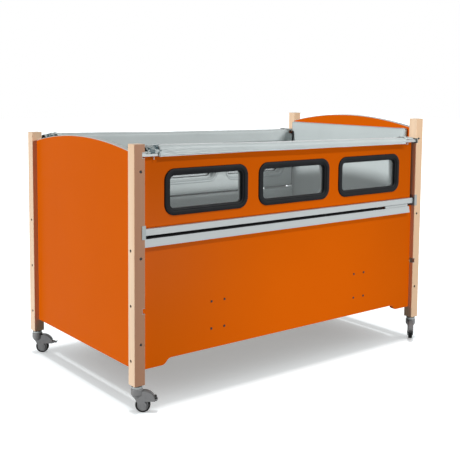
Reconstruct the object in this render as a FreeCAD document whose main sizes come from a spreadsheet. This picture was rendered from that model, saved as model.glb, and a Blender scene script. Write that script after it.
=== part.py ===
import FreeCAD, Part
import math
import os
import Sketcher

# Safety bed on castors: four wooden posts, padded panels, and two side flaps
# with windows that fold down. Millimetres. X runs from the foot end to the
# head end, the front side faces -Y, and the origin is on the floor under the
# middle of the bed.

SIZES = {
    # overall
    "bed_length": 2120, "bed_width": 1200, "castor_height": 138,
    "foot_post_height": 1190, "head_post_height": 1274,
    "post_width": 60, "post_round": 2.5,
    "overrun": 5, "seat_gap": 0.3, "shaft_gap": 0.05,
    # end and side panels
    "panel_recess": 28, "panel_thick": 28, "end_panel_bottom": 69,
    "foot_crest_over": 7, "foot_rise": 53, "head_crest_over": 5, "head_rise": 59,
    "trim_thick": 3,
    "side_panel_drop": 466, "side_panel_bottom": 98,
    "side_foot_bottom": 67, "side_foot_length": 115, "side_foot_slope": 59,
    # rails along the lower panel and the seal between them and the flap
    "rail_proud": 20, "rail_height": 41, "rail_end_gap": 4,
    "rail_mitre_gap": 34, "rail_mitre": 10,
    "seal_base": 5.5, "seal_lip": 16, "seal_lip_thick": 18, "seal_width": 42,
    "seal_front_gap": 2, "seal_head_end_gap": 250, "seal_point": 70,
    "filler_rise": 13, "filler_depth": 8,
    # flap hinge
    "hinge_rise": 29, "hinge_depth": 14, "hinge_pin_radius": 4,
    "hinge_pin_length": 22, "hinge_bore_length": 18,
    "bracket_rise": 1, "bracket_height": 68, "bracket_wall": 3,
    "bracket_depth": 44, "bracket_flange": 18,
    "bracket_screw_rise": 19, "bracket_screw_radius": 4.5,
    "bracket_screw_head": 2.5, "bracket_screw_shank": 2.4,
    "bracket_screw_length": 26,
    "bracket_screw_front": 10, "bracket_screw_back": 32,
    # flap
    "flap_end_gap": 14, "flap_panel_lap": 8,
    "flap_rail_rise": 17, "flap_rail_height": 33, "flap_rail_end_gap": 10,
    "window_end_gap": 115, "window_height": 236, "window_space": 76,
    "window_top_gap": 72.3, "window_round": 60,
    "gasket_face": 26, "gasket_proud": 7, "gasket_step": 10,
    "gasket_lap": 17, "gasket_back": 2, "pane_thick": 5, "pane_edge": 8, "pane_depth": 12,
    # top rail of the flap, its cloth cover and the latch bars
    "top_rail_end_gap": 85, "top_rail_height": 26, "top_rail_depth": 82,
    "cover_wall": 4, "cover_front_drop": 5, "cover_back_drop": 50,
    "cover_foot_rise": 31, "cover_head_rise": 6,
    "cover_round": 15,
    "latch_drop": 54.5, "latch_rise": 11.5, "latch_depth": 17,
    "latch_bar_height": 16, "latch_bar_thick": 7, "latch_bar_length": 200, "latch_channel_gap": 0.3,
    "latch_channel_length": 135, "latch_reach": 12.5,
    "latch_pin_radius": 2.5, "latch_pin_drop": 16, "latch_pin_place": 61,
    # notches in the posts
    "notch_reach": 16, "notch_height": 30, "notch_depth": 30, "catch_wall": 1.5,
    # bolts through the posts and their barrel nuts in the panels
    "bolt_inset": 36, "bolt_radius": 3, "bolt_head_radius": 6,
    "bolt_head_length": 6, "bolt_sink": 4, "sink_radius": 7.5,
    "bolt_length": 96, "nut_radius": 5, "nut_reach": 28, "nut_length": 25.5,
    "foot_face_bolt_low": 206, "foot_face_bolt_mid": 633, "foot_face_bolt_drop": 133,
    "head_face_bolt_low": 199, "head_face_bolt_mid": 672, "head_face_bolt_drop": 125,
    "end_bolt_low": 122, "end_bolt_mid": 397, "foot_end_bolt_drop": 54,
    "head_end_bolt_drop": 96,
    # bed base
    "support_width": 110, "support_height": 170, "support_plate": 4,
    "support_middle": 275, "support_place": 533, "support_shelf": 50,
    "support_shelf_height": 266, "support_screw_across": 85,
    "support_screw_up": 145, "support_screw_radius": 5,
    "support_screw_head": 3, "support_screw_shank": 3,
    "base_tube_height": 40, "base_tube_width": 30, "base_end_gap": 14,
    "base_wall": 2.5, "slat_thick": 12, "slat_width": 72, "slat_inset": 54,
    "slat_end_gap": 6,
    "mattress_end_gap": 13.7, "mattress_side_gap": 44, "mattress_thick": 150,
    "mattress_round": 28,
    # pads inside
    "pad_thick": 40, "side_pad_thick": 56, "pad_round": 14, "pad_corner_gap": 4,
    "side_pad_rise": 4, "side_pad_over": 17, "pad_seam": 3,
    "end_pad_bottom": 400, "head_pad_drop": 53, "foot_pad_drop": 58,
    "end_pad_gap": 2, "window_pad_gap": 20,
    # castors
    "castor_trail": 30, "wheel_radius": 37.5, "core_radius": 28.5,
    "tyre_width": 25, "core_width": 23, "tyre_round": 5,
    "axle_radius": 4, "axle_cap_radius": 9, "axle_cap_thick": 1.5,
    "fork_width": 36, "fork_wall": 4, "hub_boss_radius": 19,
    "head_radius": 30, "head_top": 121.7, "head_bottom": 92,
    "head_cone_bottom": 76, "head_cone_radius": 21, "head_round": 6,
    "hood_forward": 8, "hood_rise": 17.5, "hood_radius": 54,
    "hood_wall": 3, "hood_bottom": 57,
    "well_radius": 40.5, "band_thick": 3, "band_width": 22, "band_end": 76,
    "ring_radius": 27, "ring_bottom": 122, "ring_height": 9,
    "disc_radius": 25, "stem_radius": 6, "stem_rise": 60, "stem_drop": 14,
    "pedal_pin_forward": 98, "pedal_pin_height": 64, "pedal_pin_radius": 2.5,
    "knuckle_radius": 5, "pedal_length": 22, "pedal_width": 20,
    "pedal_thick": 7, "pedal_tip_rise": 5, "ear_wall": 5, "ear_gap": 0.5, "ear_height": 9,
}

# way each castor trails, in degrees about the stem, and whether its pedal
# is folded up on the hood
CASTORS = {
    "foot_front": (-38, True),
    "foot_rear": (-38, False),
    "head_front": (-139, False),
    "head_rear": (139, False),
}
PEDAL_FOLD_ANGLE = 100

SLAT_COUNT = 16
# share of the flap's length from the foot end at which the cover's sections lie
COVER_PLACE_SHARES = (0.0, 0.16, 0.42, 0.72, 1.0)
# share of the way from the head top to the foot top at those sections
COVER_TOP_SHARES = (1.0, 0.78, 0.42, 0.18, 0.0)

doc = FreeCAD.newDocument("SafetyBed")
sheet = doc.addObject("Spreadsheet::Sheet", "Sizes")
for row, (alias, number) in enumerate(SIZES.items(), start=1):
    sheet.set("A%d" % row, alias)
    sheet.set("B%d" % row, str(number))
    sheet.setAlias("B%d" % row, alias)
doc.recompute()


class Size:
    """A length with its number and the expression that gives it."""

    def __init__(self, value, text):
        self.value = float(value)
        self.text = text

    def __add__(self, other):
        other = as_size(other)
        return Size(self.value + other.value, "(%s + %s)" % (self.text, other.text))

    def __sub__(self, other):
        other = as_size(other)
        return Size(self.value - other.value, "(%s - %s)" % (self.text, other.text))

    def __mul__(self, other):
        other = as_size(other)
        return Size(self.value * other.value, "(%s * %s)" % (self.text, other.text))

    def __truediv__(self, other):
        other = as_size(other)
        return Size(self.value / other.value, "(%s / %s)" % (self.text, other.text))

    def __neg__(self):
        return Size(-self.value, "(-1 * %s)" % self.text)


def as_size(thing):
    if isinstance(thing, Size):
        return thing
    return Size(thing, repr(float(thing)))


class Cells:
    """The cells of the sheet, by alias."""

    def __getattr__(self, alias):
        return Size(sheet.get(alias), "Sizes." + alias)


d = Cells()
zero = as_size(0)
nodes = {}
AXES = {"X": (FreeCAD.Vector(0, 1, 0), 90), "Y": (FreeCAD.Vector(1, 0, 0), -90),
        "Z": (FreeCAD.Vector(0, 0, 1), 0)}
PLANES = {"XY": "XY_Plane", "XZ": "XZ_Plane", "YZ": "YZ_Plane"}


def node(label, thing):
    """Names a finished sub-part: the name is also that of its file."""
    thing.Label = label
    nodes[label] = thing
    return thing


def bind(thing, prop, size):
    thing.setExpression(prop, as_size(size).text)


def put(thing, x=zero, y=zero, z=zero):
    bind(thing, "Placement.Base.x", x)
    bind(thing, "Placement.Base.y", y)
    bind(thing, "Placement.Base.z", z)
    return thing


def box(x, y, z):
    """A block between two places on each axis."""
    block = doc.addObject("Part::Box", "block")
    bind(block, "Length", x[1] - x[0])
    bind(block, "Width", y[1] - y[0])
    bind(block, "Height", z[1] - z[0])
    return put(block, x[0], y[0], z[0])


def rod(axis, radius, low, high, across):
    """A cylinder along an axis, from low to high, at two places across it."""
    part = doc.addObject("Part::Cylinder", "rod")
    turn, angle = AXES[axis]
    part.Placement = FreeCAD.Placement(FreeCAD.Vector(), FreeCAD.Rotation(turn, angle))
    bind(part, "Radius", radius)
    bind(part, "Height", high - low)
    if axis == "X":
        return put(part, low, across[0], across[1])
    if axis == "Y":
        return put(part, across[0], low, across[1])
    return put(part, across[0], across[1], low)


def draw(sketch, path):
    """Adds a closed outline. A corner is (across, up). Where a third value
    is given, the edge that arrives there is an arc of that radius, which
    turns left where it is positive and right where it is negative."""
    first = len(sketch.Geometry)
    ends = []
    for index, corner in enumerate(path):
        before = path[index - 1]
        start = FreeCAD.Vector(before[0].value, before[1].value, 0)
        stop = FreeCAD.Vector(corner[0].value, corner[1].value, 0)
        if len(corner) == 2:
            sketch.addGeometry(Part.LineSegment(start, stop), False)
            ends.append((1, 2))
            continue
        radius = abs(corner[2].value)
        chord = stop - start
        rise = math.sqrt(max(radius ** 2 - (chord.Length / 2) ** 2, 0))
        side = FreeCAD.Vector(-chord.y, chord.x, 0).normalize()
        left = corner[2].value > 0
        middle = start + chord / 2 + side * (rise if left else -rise)
        one, two = (start, stop) if left else (stop, start)
        low = math.atan2(one.y - middle.y, one.x - middle.x)
        high = math.atan2(two.y - middle.y, two.x - middle.x)
        if high < low:
            high += 2 * math.pi
        circle = Part.Circle(middle, FreeCAD.Vector(0, 0, 1), radius)
        sketch.addGeometry(Part.ArcOfCircle(circle, low, high), False)
        ends.append((1, 2) if left else (2, 1))
    count = len(path)
    for index in range(count):
        after = (index + 1) % count
        sketch.addConstraint(Sketcher.Constraint(
            "Coincident", first + index, ends[index][1], first + after, ends[after][0]))
    for index, corner in enumerate(path):
        edge = first + index
        end = ends[index][1]
        for kind, place in (("DistanceX", corner[0]), ("DistanceY", corner[1])):
            number = sketch.addConstraint(Sketcher.Constraint(kind, -1, 1, edge, end, place.value))
            sketch.setExpression("Constraints[%d]" % number, place.text)
        if len(corner) == 3:
            radius = corner[2] if corner[2].value > 0 else -corner[2]
            number = sketch.addConstraint(Sketcher.Constraint("Radius", edge, radius.value))
            sketch.setExpression("Constraints[%d]" % number, radius.text)


def prism(plane, low, high, *paths):
    """A body padded from outlines in a plane, between two places across it."""
    body = doc.addObject("PartDesign::Body", "body")
    origin = [face for face in body.Origin.OriginFeatures if face.Role == PLANES[plane]]
    sketch = body.newObject("Sketcher::SketchObject", "outline")
    sketch.AttachmentSupport = (origin[0], "")
    sketch.MapMode = "FlatFace"
    for path in paths:
        draw(sketch, path)
    pad = body.newObject("PartDesign::Pad", "pad")
    pad.Profile = sketch
    bind(pad, "Length", high - low)
    # a pad on the XZ plane grows towards -Y
    if plane == "XZ":
        return put(body, y=high)
    if plane == "YZ":
        return put(body, x=low)
    return put(body, z=low)


def soften(body, radius, wanted):
    """Rounds the straight or curved edges that the test picks."""
    doc.recompute()
    base = body.Tip
    names = ["Edge%d" % (index + 1) for index, edge in enumerate(base.Shape.Edges) if wanted(edge)]
    rounding = body.newObject("PartDesign::Fillet", "rounding")
    rounding.Base = (base, names)
    bind(rounding, "Radius", radius)
    body.Tip = rounding
    return body


def fuse(*things):
    joined = doc.addObject("Part::MultiFuse", "joined")
    joined.Shapes = list(things)
    return joined


def cut(base, *tools):
    taken = tools[0] if len(tools) == 1 else fuse(*tools)
    left = doc.addObject("Part::Cut", "left")
    left.Base = base
    left.Tool = taken
    return left


def group(*things):
    together = doc.addObject("Part::Compound", "together")
    together.Links = list(things)
    return together


def mirror(thing, *axis):
    """The same piece on the other side of the middle plane."""
    other = doc.addObject("Part::Mirroring", "mirrored")
    other.Source = thing
    other.Normal = FreeCAD.Vector(*axis)
    return other


def to_rear(thing):
    return mirror(thing, 0, 1, 0)


def to_head(thing):
    return mirror(thing, 1, 0, 0)


def four(thing):
    """A piece at the front foot corner, repeated at all four corners."""
    rear = to_rear(thing)
    return thing, rear, to_head(thing), to_head(rear)


def round_box(x, z, radius):
    """A closed outline with quarter-round corners."""
    left, right = x
    low, high = z
    return [(right - radius, low), (right, low + radius, radius), (right, high - radius),
            (right - radius, high, radius), (left + radius, high),
            (left, high - radius, radius), (left, low + radius), (left + radius, low, radius)]


def arc_radius(half_chord, rise):
    return (half_chord * half_chord + rise * rise) / (rise * 2)


# places that many pieces share
half_length = d.bed_length / 2
half_width = d.bed_width / 2
inner_x = half_length - d.post_width
inner_y = half_width - d.post_width
end_face_x = half_length - d.panel_recess - d.panel_thick
side_face_y = half_width - d.panel_recess - d.panel_thick
front_face = -(half_width - d.panel_recess)
back_face = -side_face_y
pad_face_x = end_face_x - d.seat_gap - d.pad_thick
pad_face_y = side_face_y - d.seat_gap - d.pad_thick
post_middle = (-(half_length - d.post_width / 2), -(half_width - d.post_width / 2))
hinge_y = -(half_width - d.hinge_depth)
latch_y = -(half_width - d.latch_depth)

# heights above the posts' lower ends that many pieces share
side_panel_top = d.foot_post_height - d.side_panel_drop
hinge_level = side_panel_top + d.hinge_rise
flap_rail_bottom = side_panel_top + d.flap_rail_rise
side_pad_top = side_panel_top + d.side_pad_over
latch_level = d.foot_post_height - d.latch_drop
latch_low = hinge_level * 2 - latch_level
top_rail_bottom = latch_level - d.latch_rise
top_rail_top = top_rail_bottom + d.top_rail_height
flap_panel_top = top_rail_bottom + d.flap_panel_lap

# heights of the bolts: through the front or rear face into the end panel,
# and through the end face into the side panel
FOOT_FACE_BOLTS = (d.foot_face_bolt_low, d.foot_face_bolt_mid,
                   d.foot_post_height - d.foot_face_bolt_drop)
HEAD_FACE_BOLTS = (d.head_face_bolt_low, d.head_face_bolt_mid,
                   d.head_post_height - d.head_face_bolt_drop)
FOOT_END_BOLTS = (d.end_bolt_low, d.end_bolt_mid, side_panel_top - d.foot_end_bolt_drop)
HEAD_END_BOLTS = (d.end_bolt_low, d.end_bolt_mid, side_panel_top - d.head_end_bolt_drop)


def up(height):
    """A height above the posts' lower ends, taken from the floor."""
    return d.castor_height + height


def post_bolts(faces, ends):
    """Axis, depth places and heights of the bolts of a front foot post."""
    bolts = []
    for level in faces:
        bolts.append(("Y", -half_width, (-(half_length - d.bolt_inset), up(level))))
    for level in ends:
        bolts.append(("X", -half_length, (-(half_width - d.bolt_inset), up(level))))
    return bolts


# posts, with notches for the latch bars and holes for bolts, screws and stem
def make_post(height, faces, ends):
    square = round_box((-half_length, -inner_x), (-half_width, -inner_y), d.post_round)
    post = prism("XY", d.castor_height, up(height), square)
    top = height.value
    soften(post, d.post_round / 2,
           lambda edge: all(abs(point.Z - top) < 0.01 for point in edge.Vertexes))
    tools = []
    for level in (latch_level, latch_low):
        tools.append(box(
            (-(inner_x + d.notch_reach), -(inner_x - d.overrun)),
            (-(half_width + d.overrun), -(half_width - d.notch_depth)),
            (up(level - d.notch_height / 2), up(level + d.notch_height / 2))))
    for axis, face, across in post_bolts(faces, ends):
        sink = face + d.bolt_sink + d.bolt_head_length
        tools.append(rod(axis, d.sink_radius, face - d.overrun, sink, across))
        tools.append(rod(axis, d.bolt_radius + d.shaft_gap, face,
                         face + d.post_width + d.overrun, across))
    for depth in (d.bracket_screw_front, d.bracket_screw_back):
        tools.append(rod("X", d.bracket_screw_shank + d.shaft_gap,
                         -(inner_x + d.bracket_screw_length), -(inner_x - d.overrun),
                         (-(half_width - depth), up(hinge_level + d.bracket_screw_rise))))
    tools.append(rod("Z", d.stem_radius + d.shaft_gap, d.castor_height - d.overrun,
                     up(d.stem_rise), post_middle))
    return cut(post, *tools)


foot_post = make_post(d.foot_post_height, FOOT_FACE_BOLTS, FOOT_END_BOLTS)
head_post = make_post(d.head_post_height, HEAD_FACE_BOLTS, HEAD_END_BOLTS)
node("post_foot_front", foot_post)
node("post_foot_rear", to_rear(foot_post))
node("post_head_front", to_head(head_post))
node("post_head_rear", to_rear(nodes["post_head_front"]))


# bolts sunk in the posts and the barrel nuts that they reach in the panels
def make_bolt(axis, face, across):
    start = face + d.bolt_sink
    neck = start + d.bolt_head_length
    return fuse(rod(axis, d.bolt_head_radius, start, neck, across),
                rod(axis, d.bolt_radius, neck, face + d.bolt_length, across))


def nut_place(axis):
    """Where a nut lies along its bolt, and where it starts and ends across."""
    if axis == "Y":
        return -(inner_y - d.nut_reach), -(end_face_x + d.nut_length), -end_face_x
    return -(inner_x - d.nut_reach), -(side_face_y + d.nut_length), -side_face_y


def make_nut(axis, face, across, radius, grow):
    along, low, high = nut_place(axis)
    if axis == "Y":
        return rod("X", radius, low, high + grow, (along, across[1]))
    return rod("Y", radius, low, high + grow, (along, across[1]))


def bored_nut(axis, face, across):
    nut = make_nut(axis, face, across, d.nut_radius, zero)
    along = nut_place(axis)[0]
    bore = rod(axis, d.bolt_radius + d.shaft_gap, along - d.nut_radius * 2,
               along + d.nut_radius * 2, across)
    return cut(nut, bore)


all_bolts = []
all_nuts = []
for at_head, faces, ends in ((False, FOOT_FACE_BOLTS, FOOT_END_BOLTS),
                             (True, HEAD_FACE_BOLTS, HEAD_END_BOLTS)):
    for place in post_bolts(faces, ends):
        for piece, gathered in ((make_bolt(*place), all_bolts), (bored_nut(*place), all_nuts)):
            here = to_head(piece) if at_head else piece
            gathered.extend((here, to_rear(here)))
node("panel_bolts", group(*all_bolts))
node("barrel_nuts", group(*all_nuts))


def bolt_holes(places):
    """Holes for bolts and nuts in a panel, at the front foot corner."""
    tools = []
    for axis, face, across in places:
        start = face + d.post_width
        tools.append(rod(axis, d.bolt_radius + d.shaft_gap, start - d.overrun,
                         face + d.bolt_length + d.overrun, across))
        tools.append(make_nut(axis, face, across, d.nut_radius + d.shaft_gap, d.overrun))
    return tools


# end panels with an arched top and a pale trim along it
def make_end(crest, rise, faces):
    shoulder = up(crest - rise)
    bend = arc_radius(inner_y, rise)
    under = shoulder - d.trim_thick
    low = up(d.end_panel_bottom)
    places = (-(half_length - d.panel_recess), -end_face_x)
    panel = prism("YZ", places[0], places[1],
                  [(-inner_y, low), (inner_y, low), (inner_y, under), (-inner_y, under, bend)])
    trim = prism("YZ", places[0], places[1],
                 [(-inner_y, under), (inner_y, under, -bend), (inner_y, shoulder),
                  (-inner_y, shoulder, bend)])
    holes = fuse(*bolt_holes(post_bolts(faces, ())))
    return cut(panel, holes, to_rear(holes)), trim


foot_panel, foot_trim = make_end(d.foot_post_height + d.foot_crest_over, d.foot_rise,
                                 FOOT_FACE_BOLTS)
head_panel, head_trim = make_end(d.head_post_height + d.head_crest_over, d.head_rise,
                                 HEAD_FACE_BOLTS)
node("foot_panel", foot_panel)
node("head_panel", to_head(head_panel))
node("edge_trims", group(foot_trim, to_head(head_trim)))


# lower side panels with feet at both ends, bolted to the posts
def support_places():
    """Across and up places of the screws of one support, from its middle."""
    for side in (-1, 1):
        for level in (-1, 1):
            yield (-d.support_place + d.support_screw_across / 2 * side,
                   up(d.support_middle + d.support_screw_up / 2 * level))


def make_side_panel():
    low, arch = up(d.side_foot_bottom), up(d.side_panel_bottom)
    rise = (arch - low) / 2
    run = d.side_foot_slope / 2
    bend = arc_radius(run, rise)
    toe = inner_x - d.side_foot_length
    outline = [(-inner_x, low), (-toe, low), (-toe + run, low + rise, bend),
               (-toe + run * 2, arch, -bend), (toe - run * 2, arch),
               (toe - run, low + rise, -bend), (toe, low, bend), (inner_x, low),
               (inner_x, up(side_panel_top)), (-inner_x, up(side_panel_top))]
    panel = prism("XZ", front_face, back_face, outline)
    foot_holes = fuse(*bolt_holes(post_bolts((), FOOT_END_BOLTS)))
    head_holes = to_head(fuse(*bolt_holes(post_bolts((), HEAD_END_BOLTS))))
    screws = fuse(*[rod("Y", d.support_screw_shank + d.shaft_gap, front_face - d.overrun,
                        back_face + d.overrun, place) for place in support_places()])
    return cut(panel, foot_holes, head_holes, screws, to_head(screws))


node("side_panel_front", make_side_panel())
node("side_panel_rear", to_rear(nodes["side_panel_front"]))

# rails along the top of the lower panels, mitred at the head end, where a
# filler on each rail closes the gap beyond the seal
rail_front = front_face - d.rail_proud
rail_left = -(inner_x - d.rail_end_gap)
rail_right = inner_x - d.rail_mitre_gap
seal_end = inner_x - d.seal_head_end_gap
lower_rail = prism("XZ", rail_front, front_face, [
    (rail_left, up(side_panel_top - d.rail_height)),
    (rail_right, up(side_panel_top - d.rail_height)),
    (rail_right - d.rail_mitre, up(side_panel_top)), (rail_left, up(side_panel_top))])
filler = box((seal_end + d.seat_gap, rail_right - d.rail_mitre),
             (front_face - d.filler_depth, front_face),
             (up(side_panel_top), up(side_panel_top + d.filler_rise)))
filled_rail = fuse(lower_rail, filler)
node("lower_rails", group(filled_rail, to_rear(filled_rail)))

# rubber seals that close the gap under the flaps, pointed at the head end
seal_top = up(side_panel_top + d.seal_base)
seal_front = rail_front + d.seal_front_gap
lip_back = seal_front + d.seal_width
seal_strip = prism("YZ", rail_left, seal_end - d.seal_point, [
    (seal_front, up(side_panel_top)), (lip_back, up(side_panel_top)),
    (lip_back, up(side_panel_top + d.seal_lip)),
    (lip_back - d.seal_lip_thick, up(side_panel_top + d.seal_lip)),
    (lip_back - d.seal_lip_thick, seal_top), (seal_front, seal_top)])
seal_tip = prism("XZ", seal_front, lip_back, [
    (seal_end - d.seal_point, up(side_panel_top)), (seal_end, up(side_panel_top)),
    (seal_end - d.seal_point, seal_top)])
rail_seal = fuse(seal_strip, seal_tip)
node("rail_seals", group(rail_seal, to_rear(rail_seal)))

# hinge brackets round the posts' inner front corners, each with its pin
bracket_inner = -(inner_x - d.bracket_wall)
bracket_bottom = up(side_panel_top + d.bracket_rise)
bracket_levels = (bracket_bottom, bracket_bottom + d.bracket_height)
bracket_front = -(half_width + d.bracket_wall)
hinge_axis = (hinge_y, up(hinge_level))
bracket_leg = box((-inner_x, bracket_inner),
                  (bracket_front, -(half_width - d.bracket_depth)), bracket_levels)
bracket_face = box((-(inner_x + d.bracket_flange), bracket_inner),
                   (bracket_front, -half_width), bracket_levels)
bracket_pin = rod("X", d.hinge_pin_radius, bracket_inner,
                  bracket_inner + d.hinge_pin_length, hinge_axis)
bracket_bores = []
bracket_screws = []
for depth in (d.bracket_screw_front, d.bracket_screw_back):
    spot = (-(half_width - depth), up(hinge_level + d.bracket_screw_rise))
    bracket_bores.append(rod("X", d.bracket_screw_shank + d.shaft_gap,
                             -(inner_x + d.overrun), bracket_inner + d.overrun, spot))
    shank = rod("X", d.bracket_screw_shank, -(inner_x + d.bracket_screw_length),
                bracket_inner, spot)
    head = rod("X", d.bracket_screw_radius, bracket_inner,
               bracket_inner + d.bracket_screw_head, spot)
    bracket_screws.extend(four(fuse(shank, head)))
hinge_bracket = fuse(cut(fuse(bracket_leg, bracket_face), *bracket_bores), bracket_pin)
node("hinge_brackets", group(*four(hinge_bracket)))
node("bracket_screws", group(*bracket_screws))

# metal linings of the notches, open to the front and to the bed
catch_plates = []
for level in (latch_level, latch_low):
    notch_end = -(inner_x + d.notch_reach)
    low, high = up(level - d.notch_height / 2), up(level + d.notch_height / 2)
    lining = cut(
        box((notch_end, -inner_x), (-half_width, -(half_width - d.notch_depth)), (low, high)),
        box((notch_end + d.catch_wall, -(inner_x - d.overrun)),
            (-(half_width + d.overrun), -(half_width - d.notch_depth - d.overrun)),
            (low + d.catch_wall, high - d.catch_wall)))
    catch_plates.extend(four(lining))
node("catch_plates", group(*catch_plates))

# supports screwed to the lower panels, and the bed base that lies on them
support_x = (-(d.support_place + d.support_width / 2), -(d.support_place - d.support_width / 2))
plate_face = back_face + d.support_plate
support_plate = box(support_x, (back_face, plate_face),
                    (up(d.support_middle - d.support_height / 2),
                     up(d.support_middle + d.support_height / 2)))
support_shelf = box(support_x, (back_face, plate_face + d.support_shelf),
                    (up(d.support_shelf_height - d.support_plate), up(d.support_shelf_height)))
support_bores = []
support_screws = []
for spot in support_places():
    support_bores.append(rod("Y", d.support_screw_shank + d.shaft_gap, back_face - d.overrun,
                             plate_face + d.overrun, spot))
    head = rod("Y", d.support_screw_radius, front_face - d.support_screw_head, front_face, spot)
    shank = rod("Y", d.support_screw_shank, front_face, plate_face, spot)
    support_screws.extend(four(fuse(head, shank)))
support = cut(fuse(support_plate, support_shelf), *support_bores)
node("support_brackets", group(*four(support)))
node("support_screws", group(*support_screws))

tube_z = (up(d.support_shelf_height), up(d.support_shelf_height + d.base_tube_height))
tube_out = side_face_y - d.support_plate - d.seat_gap
base_half = end_face_x - d.base_end_gap


def tube(x, y, along):
    """A square-cut tube between two places, hollow along X or Y."""
    grow = {"X": (d.overrun, -d.base_wall), "Y": (-d.base_wall, d.overrun)}[along]
    hollow = box((x[0] - grow[0], x[1] + grow[0]), (y[0] - grow[1], y[1] + grow[1]),
                 (tube_z[0] + d.base_wall, tube_z[1] - d.base_wall))
    return cut(box(x, y, tube_z), hollow)


side_tube = tube((-base_half, base_half), (-tube_out, -(tube_out - d.base_tube_width)), "X")
tube_in = tube_out - d.base_tube_width
cross_tubes = [tube((place - d.base_tube_width / 2, place + d.base_tube_width / 2),
                    (-tube_in, tube_in), "Y")
               for place in (-(base_half - d.base_tube_width / 2), -base_half / 3,
                             base_half / 3, base_half - d.base_tube_width / 2)]
node("base_frame", fuse(side_tube, to_rear(side_tube), *cross_tubes))

slat_top = tube_z[1] + d.slat_thick
slat_reach = base_half - d.slat_inset - d.slat_width / 2
slats = []
for index in range(SLAT_COUNT):
    middle = slat_reach * (index * 2 / (SLAT_COUNT - 1) - 1)
    slats.append(box((middle - d.slat_width / 2, middle + d.slat_width / 2),
                     (-(tube_out - d.slat_end_gap), tube_out - d.slat_end_gap),
                     (tube_z[1], slat_top)))
node("slats", group(*slats))

# mattress
mattress_top = slat_top + d.seat_gap + d.mattress_thick
mattress_x = pad_face_x - d.mattress_end_gap
mattress_y = side_face_y - d.mattress_side_gap
mattress = prism("XY", slat_top + d.seat_gap, mattress_top,
                 round_box((-mattress_x, mattress_x), (-mattress_y, mattress_y),
                           d.mattress_round * 2))
soften(mattress, d.mattress_round,
       lambda edge: abs(edge.Vertexes[0].Z - edge.Vertexes[-1].Z) < 0.01)
node("mattress", mattress)


# pads on the inside of the panels, rounded at their inner faces
def on_plane(axis, place):
    return lambda edge: all(abs(getattr(point, axis) - place) < 0.01 for point in edge.Vertexes)


def make_end_pad(top):
    half = inner_y - d.end_pad_gap
    pad = prism("YZ", -(end_face_x - d.seat_gap), -pad_face_x,
                round_box((-half, half), (up(d.end_pad_bottom), up(top)), d.pad_round))
    return soften(pad, d.pad_round / 2, on_plane("X", d.pad_thick.value))


WINDOWS = (-1, 0, 1)
flap_end = inner_x - d.flap_end_gap
window_width = ((flap_end - d.window_end_gap) * 2
                - d.window_space * (len(WINDOWS) - 1)) / len(WINDOWS)
window_level = up(flap_panel_top - d.window_top_gap - d.window_height / 2)


def window_outline(index, inset):
    """One of the three windows, drawn in by an inset from the gasket's edge."""
    middle = (window_width + d.window_space) * index
    across = window_width / 2 - inset
    rise = d.window_height / 2 - inset
    return round_box((middle - across, middle + across),
                     (window_level - rise, window_level + rise), d.window_round - inset)


def make_side_pad(low, high, thick, windows):
    half = pad_face_x - d.pad_corner_gap
    back = side_face_y - d.seat_gap
    outlines = [round_box((-half, half), (low, high), d.pad_round)]
    outlines.extend(window_outline(index, d.window_pad_gap) for index in windows)
    pad = prism("XZ", -back, -(back - thick), *outlines)
    return soften(pad, d.pad_round / 2, on_plane("Y", 0))


node("foot_pad", make_end_pad(d.foot_post_height - d.foot_pad_drop))
node("head_pad", to_head(make_end_pad(d.head_post_height - d.head_pad_drop)))
node("side_pad_front", make_side_pad(mattress_top + d.side_pad_rise, up(side_pad_top),
                                     d.side_pad_thick, ()))
node("side_pad_rear", to_rear(nodes["side_pad_front"]))

# flap at the front: panel with three windows, rails, gaskets, panes and pad
flap_panel = prism("XZ", front_face, back_face,
                   [(-flap_end, up(flap_rail_bottom)), (flap_end, up(flap_rail_bottom)),
                    (flap_end, up(flap_panel_top)), (-flap_end, up(flap_panel_top))],
                   *[window_outline(index, d.gasket_lap) for index in WINDOWS])

flap_rail_end = inner_x - d.flap_rail_end_gap
hinge_bore = rod("X", d.hinge_pin_radius + d.shaft_gap, -(flap_rail_end + d.overrun),
                 -(flap_rail_end - d.hinge_bore_length), hinge_axis)
flap_rail = cut(box((-flap_rail_end, flap_rail_end), (rail_front, front_face),
                    (up(flap_rail_bottom), up(flap_rail_bottom + d.flap_rail_height))),
                hinge_bore, to_head(hinge_bore))

top_rail_end = inner_x - d.top_rail_end_gap
top_rail_back = rail_front + d.top_rail_depth
rest_on_panel = up(flap_panel_top + d.seat_gap)
top_rail_body = prism("YZ", -top_rail_end, top_rail_end, [
    (rail_front, up(top_rail_bottom)), (front_face, up(top_rail_bottom)),
    (front_face, rest_on_panel), (top_rail_back, rest_on_panel),
    (top_rail_back, up(top_rail_top)), (rail_front, up(top_rail_top))])
channel_half = d.latch_bar_thick / 2 + d.latch_channel_gap
channel_rise = d.latch_bar_height / 2 + d.latch_channel_gap
channel = box((-(top_rail_end + d.overrun), -(top_rail_end - d.latch_channel_length)),
              (latch_y - channel_half, latch_y + channel_half),
              (up(latch_level) - channel_rise, up(latch_level) + channel_rise))
top_rail = cut(top_rail_body, channel, to_head(channel))


def window_ring(low, high, outer, inner):
    return fuse(*[prism("XZ", low, high, window_outline(index, outer),
                        window_outline(index, inner)) for index in WINDOWS])


def window_plates(low, high, inset):
    return [prism("XZ", low, high, window_outline(index, inset)) for index in WINDOWS]


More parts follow.
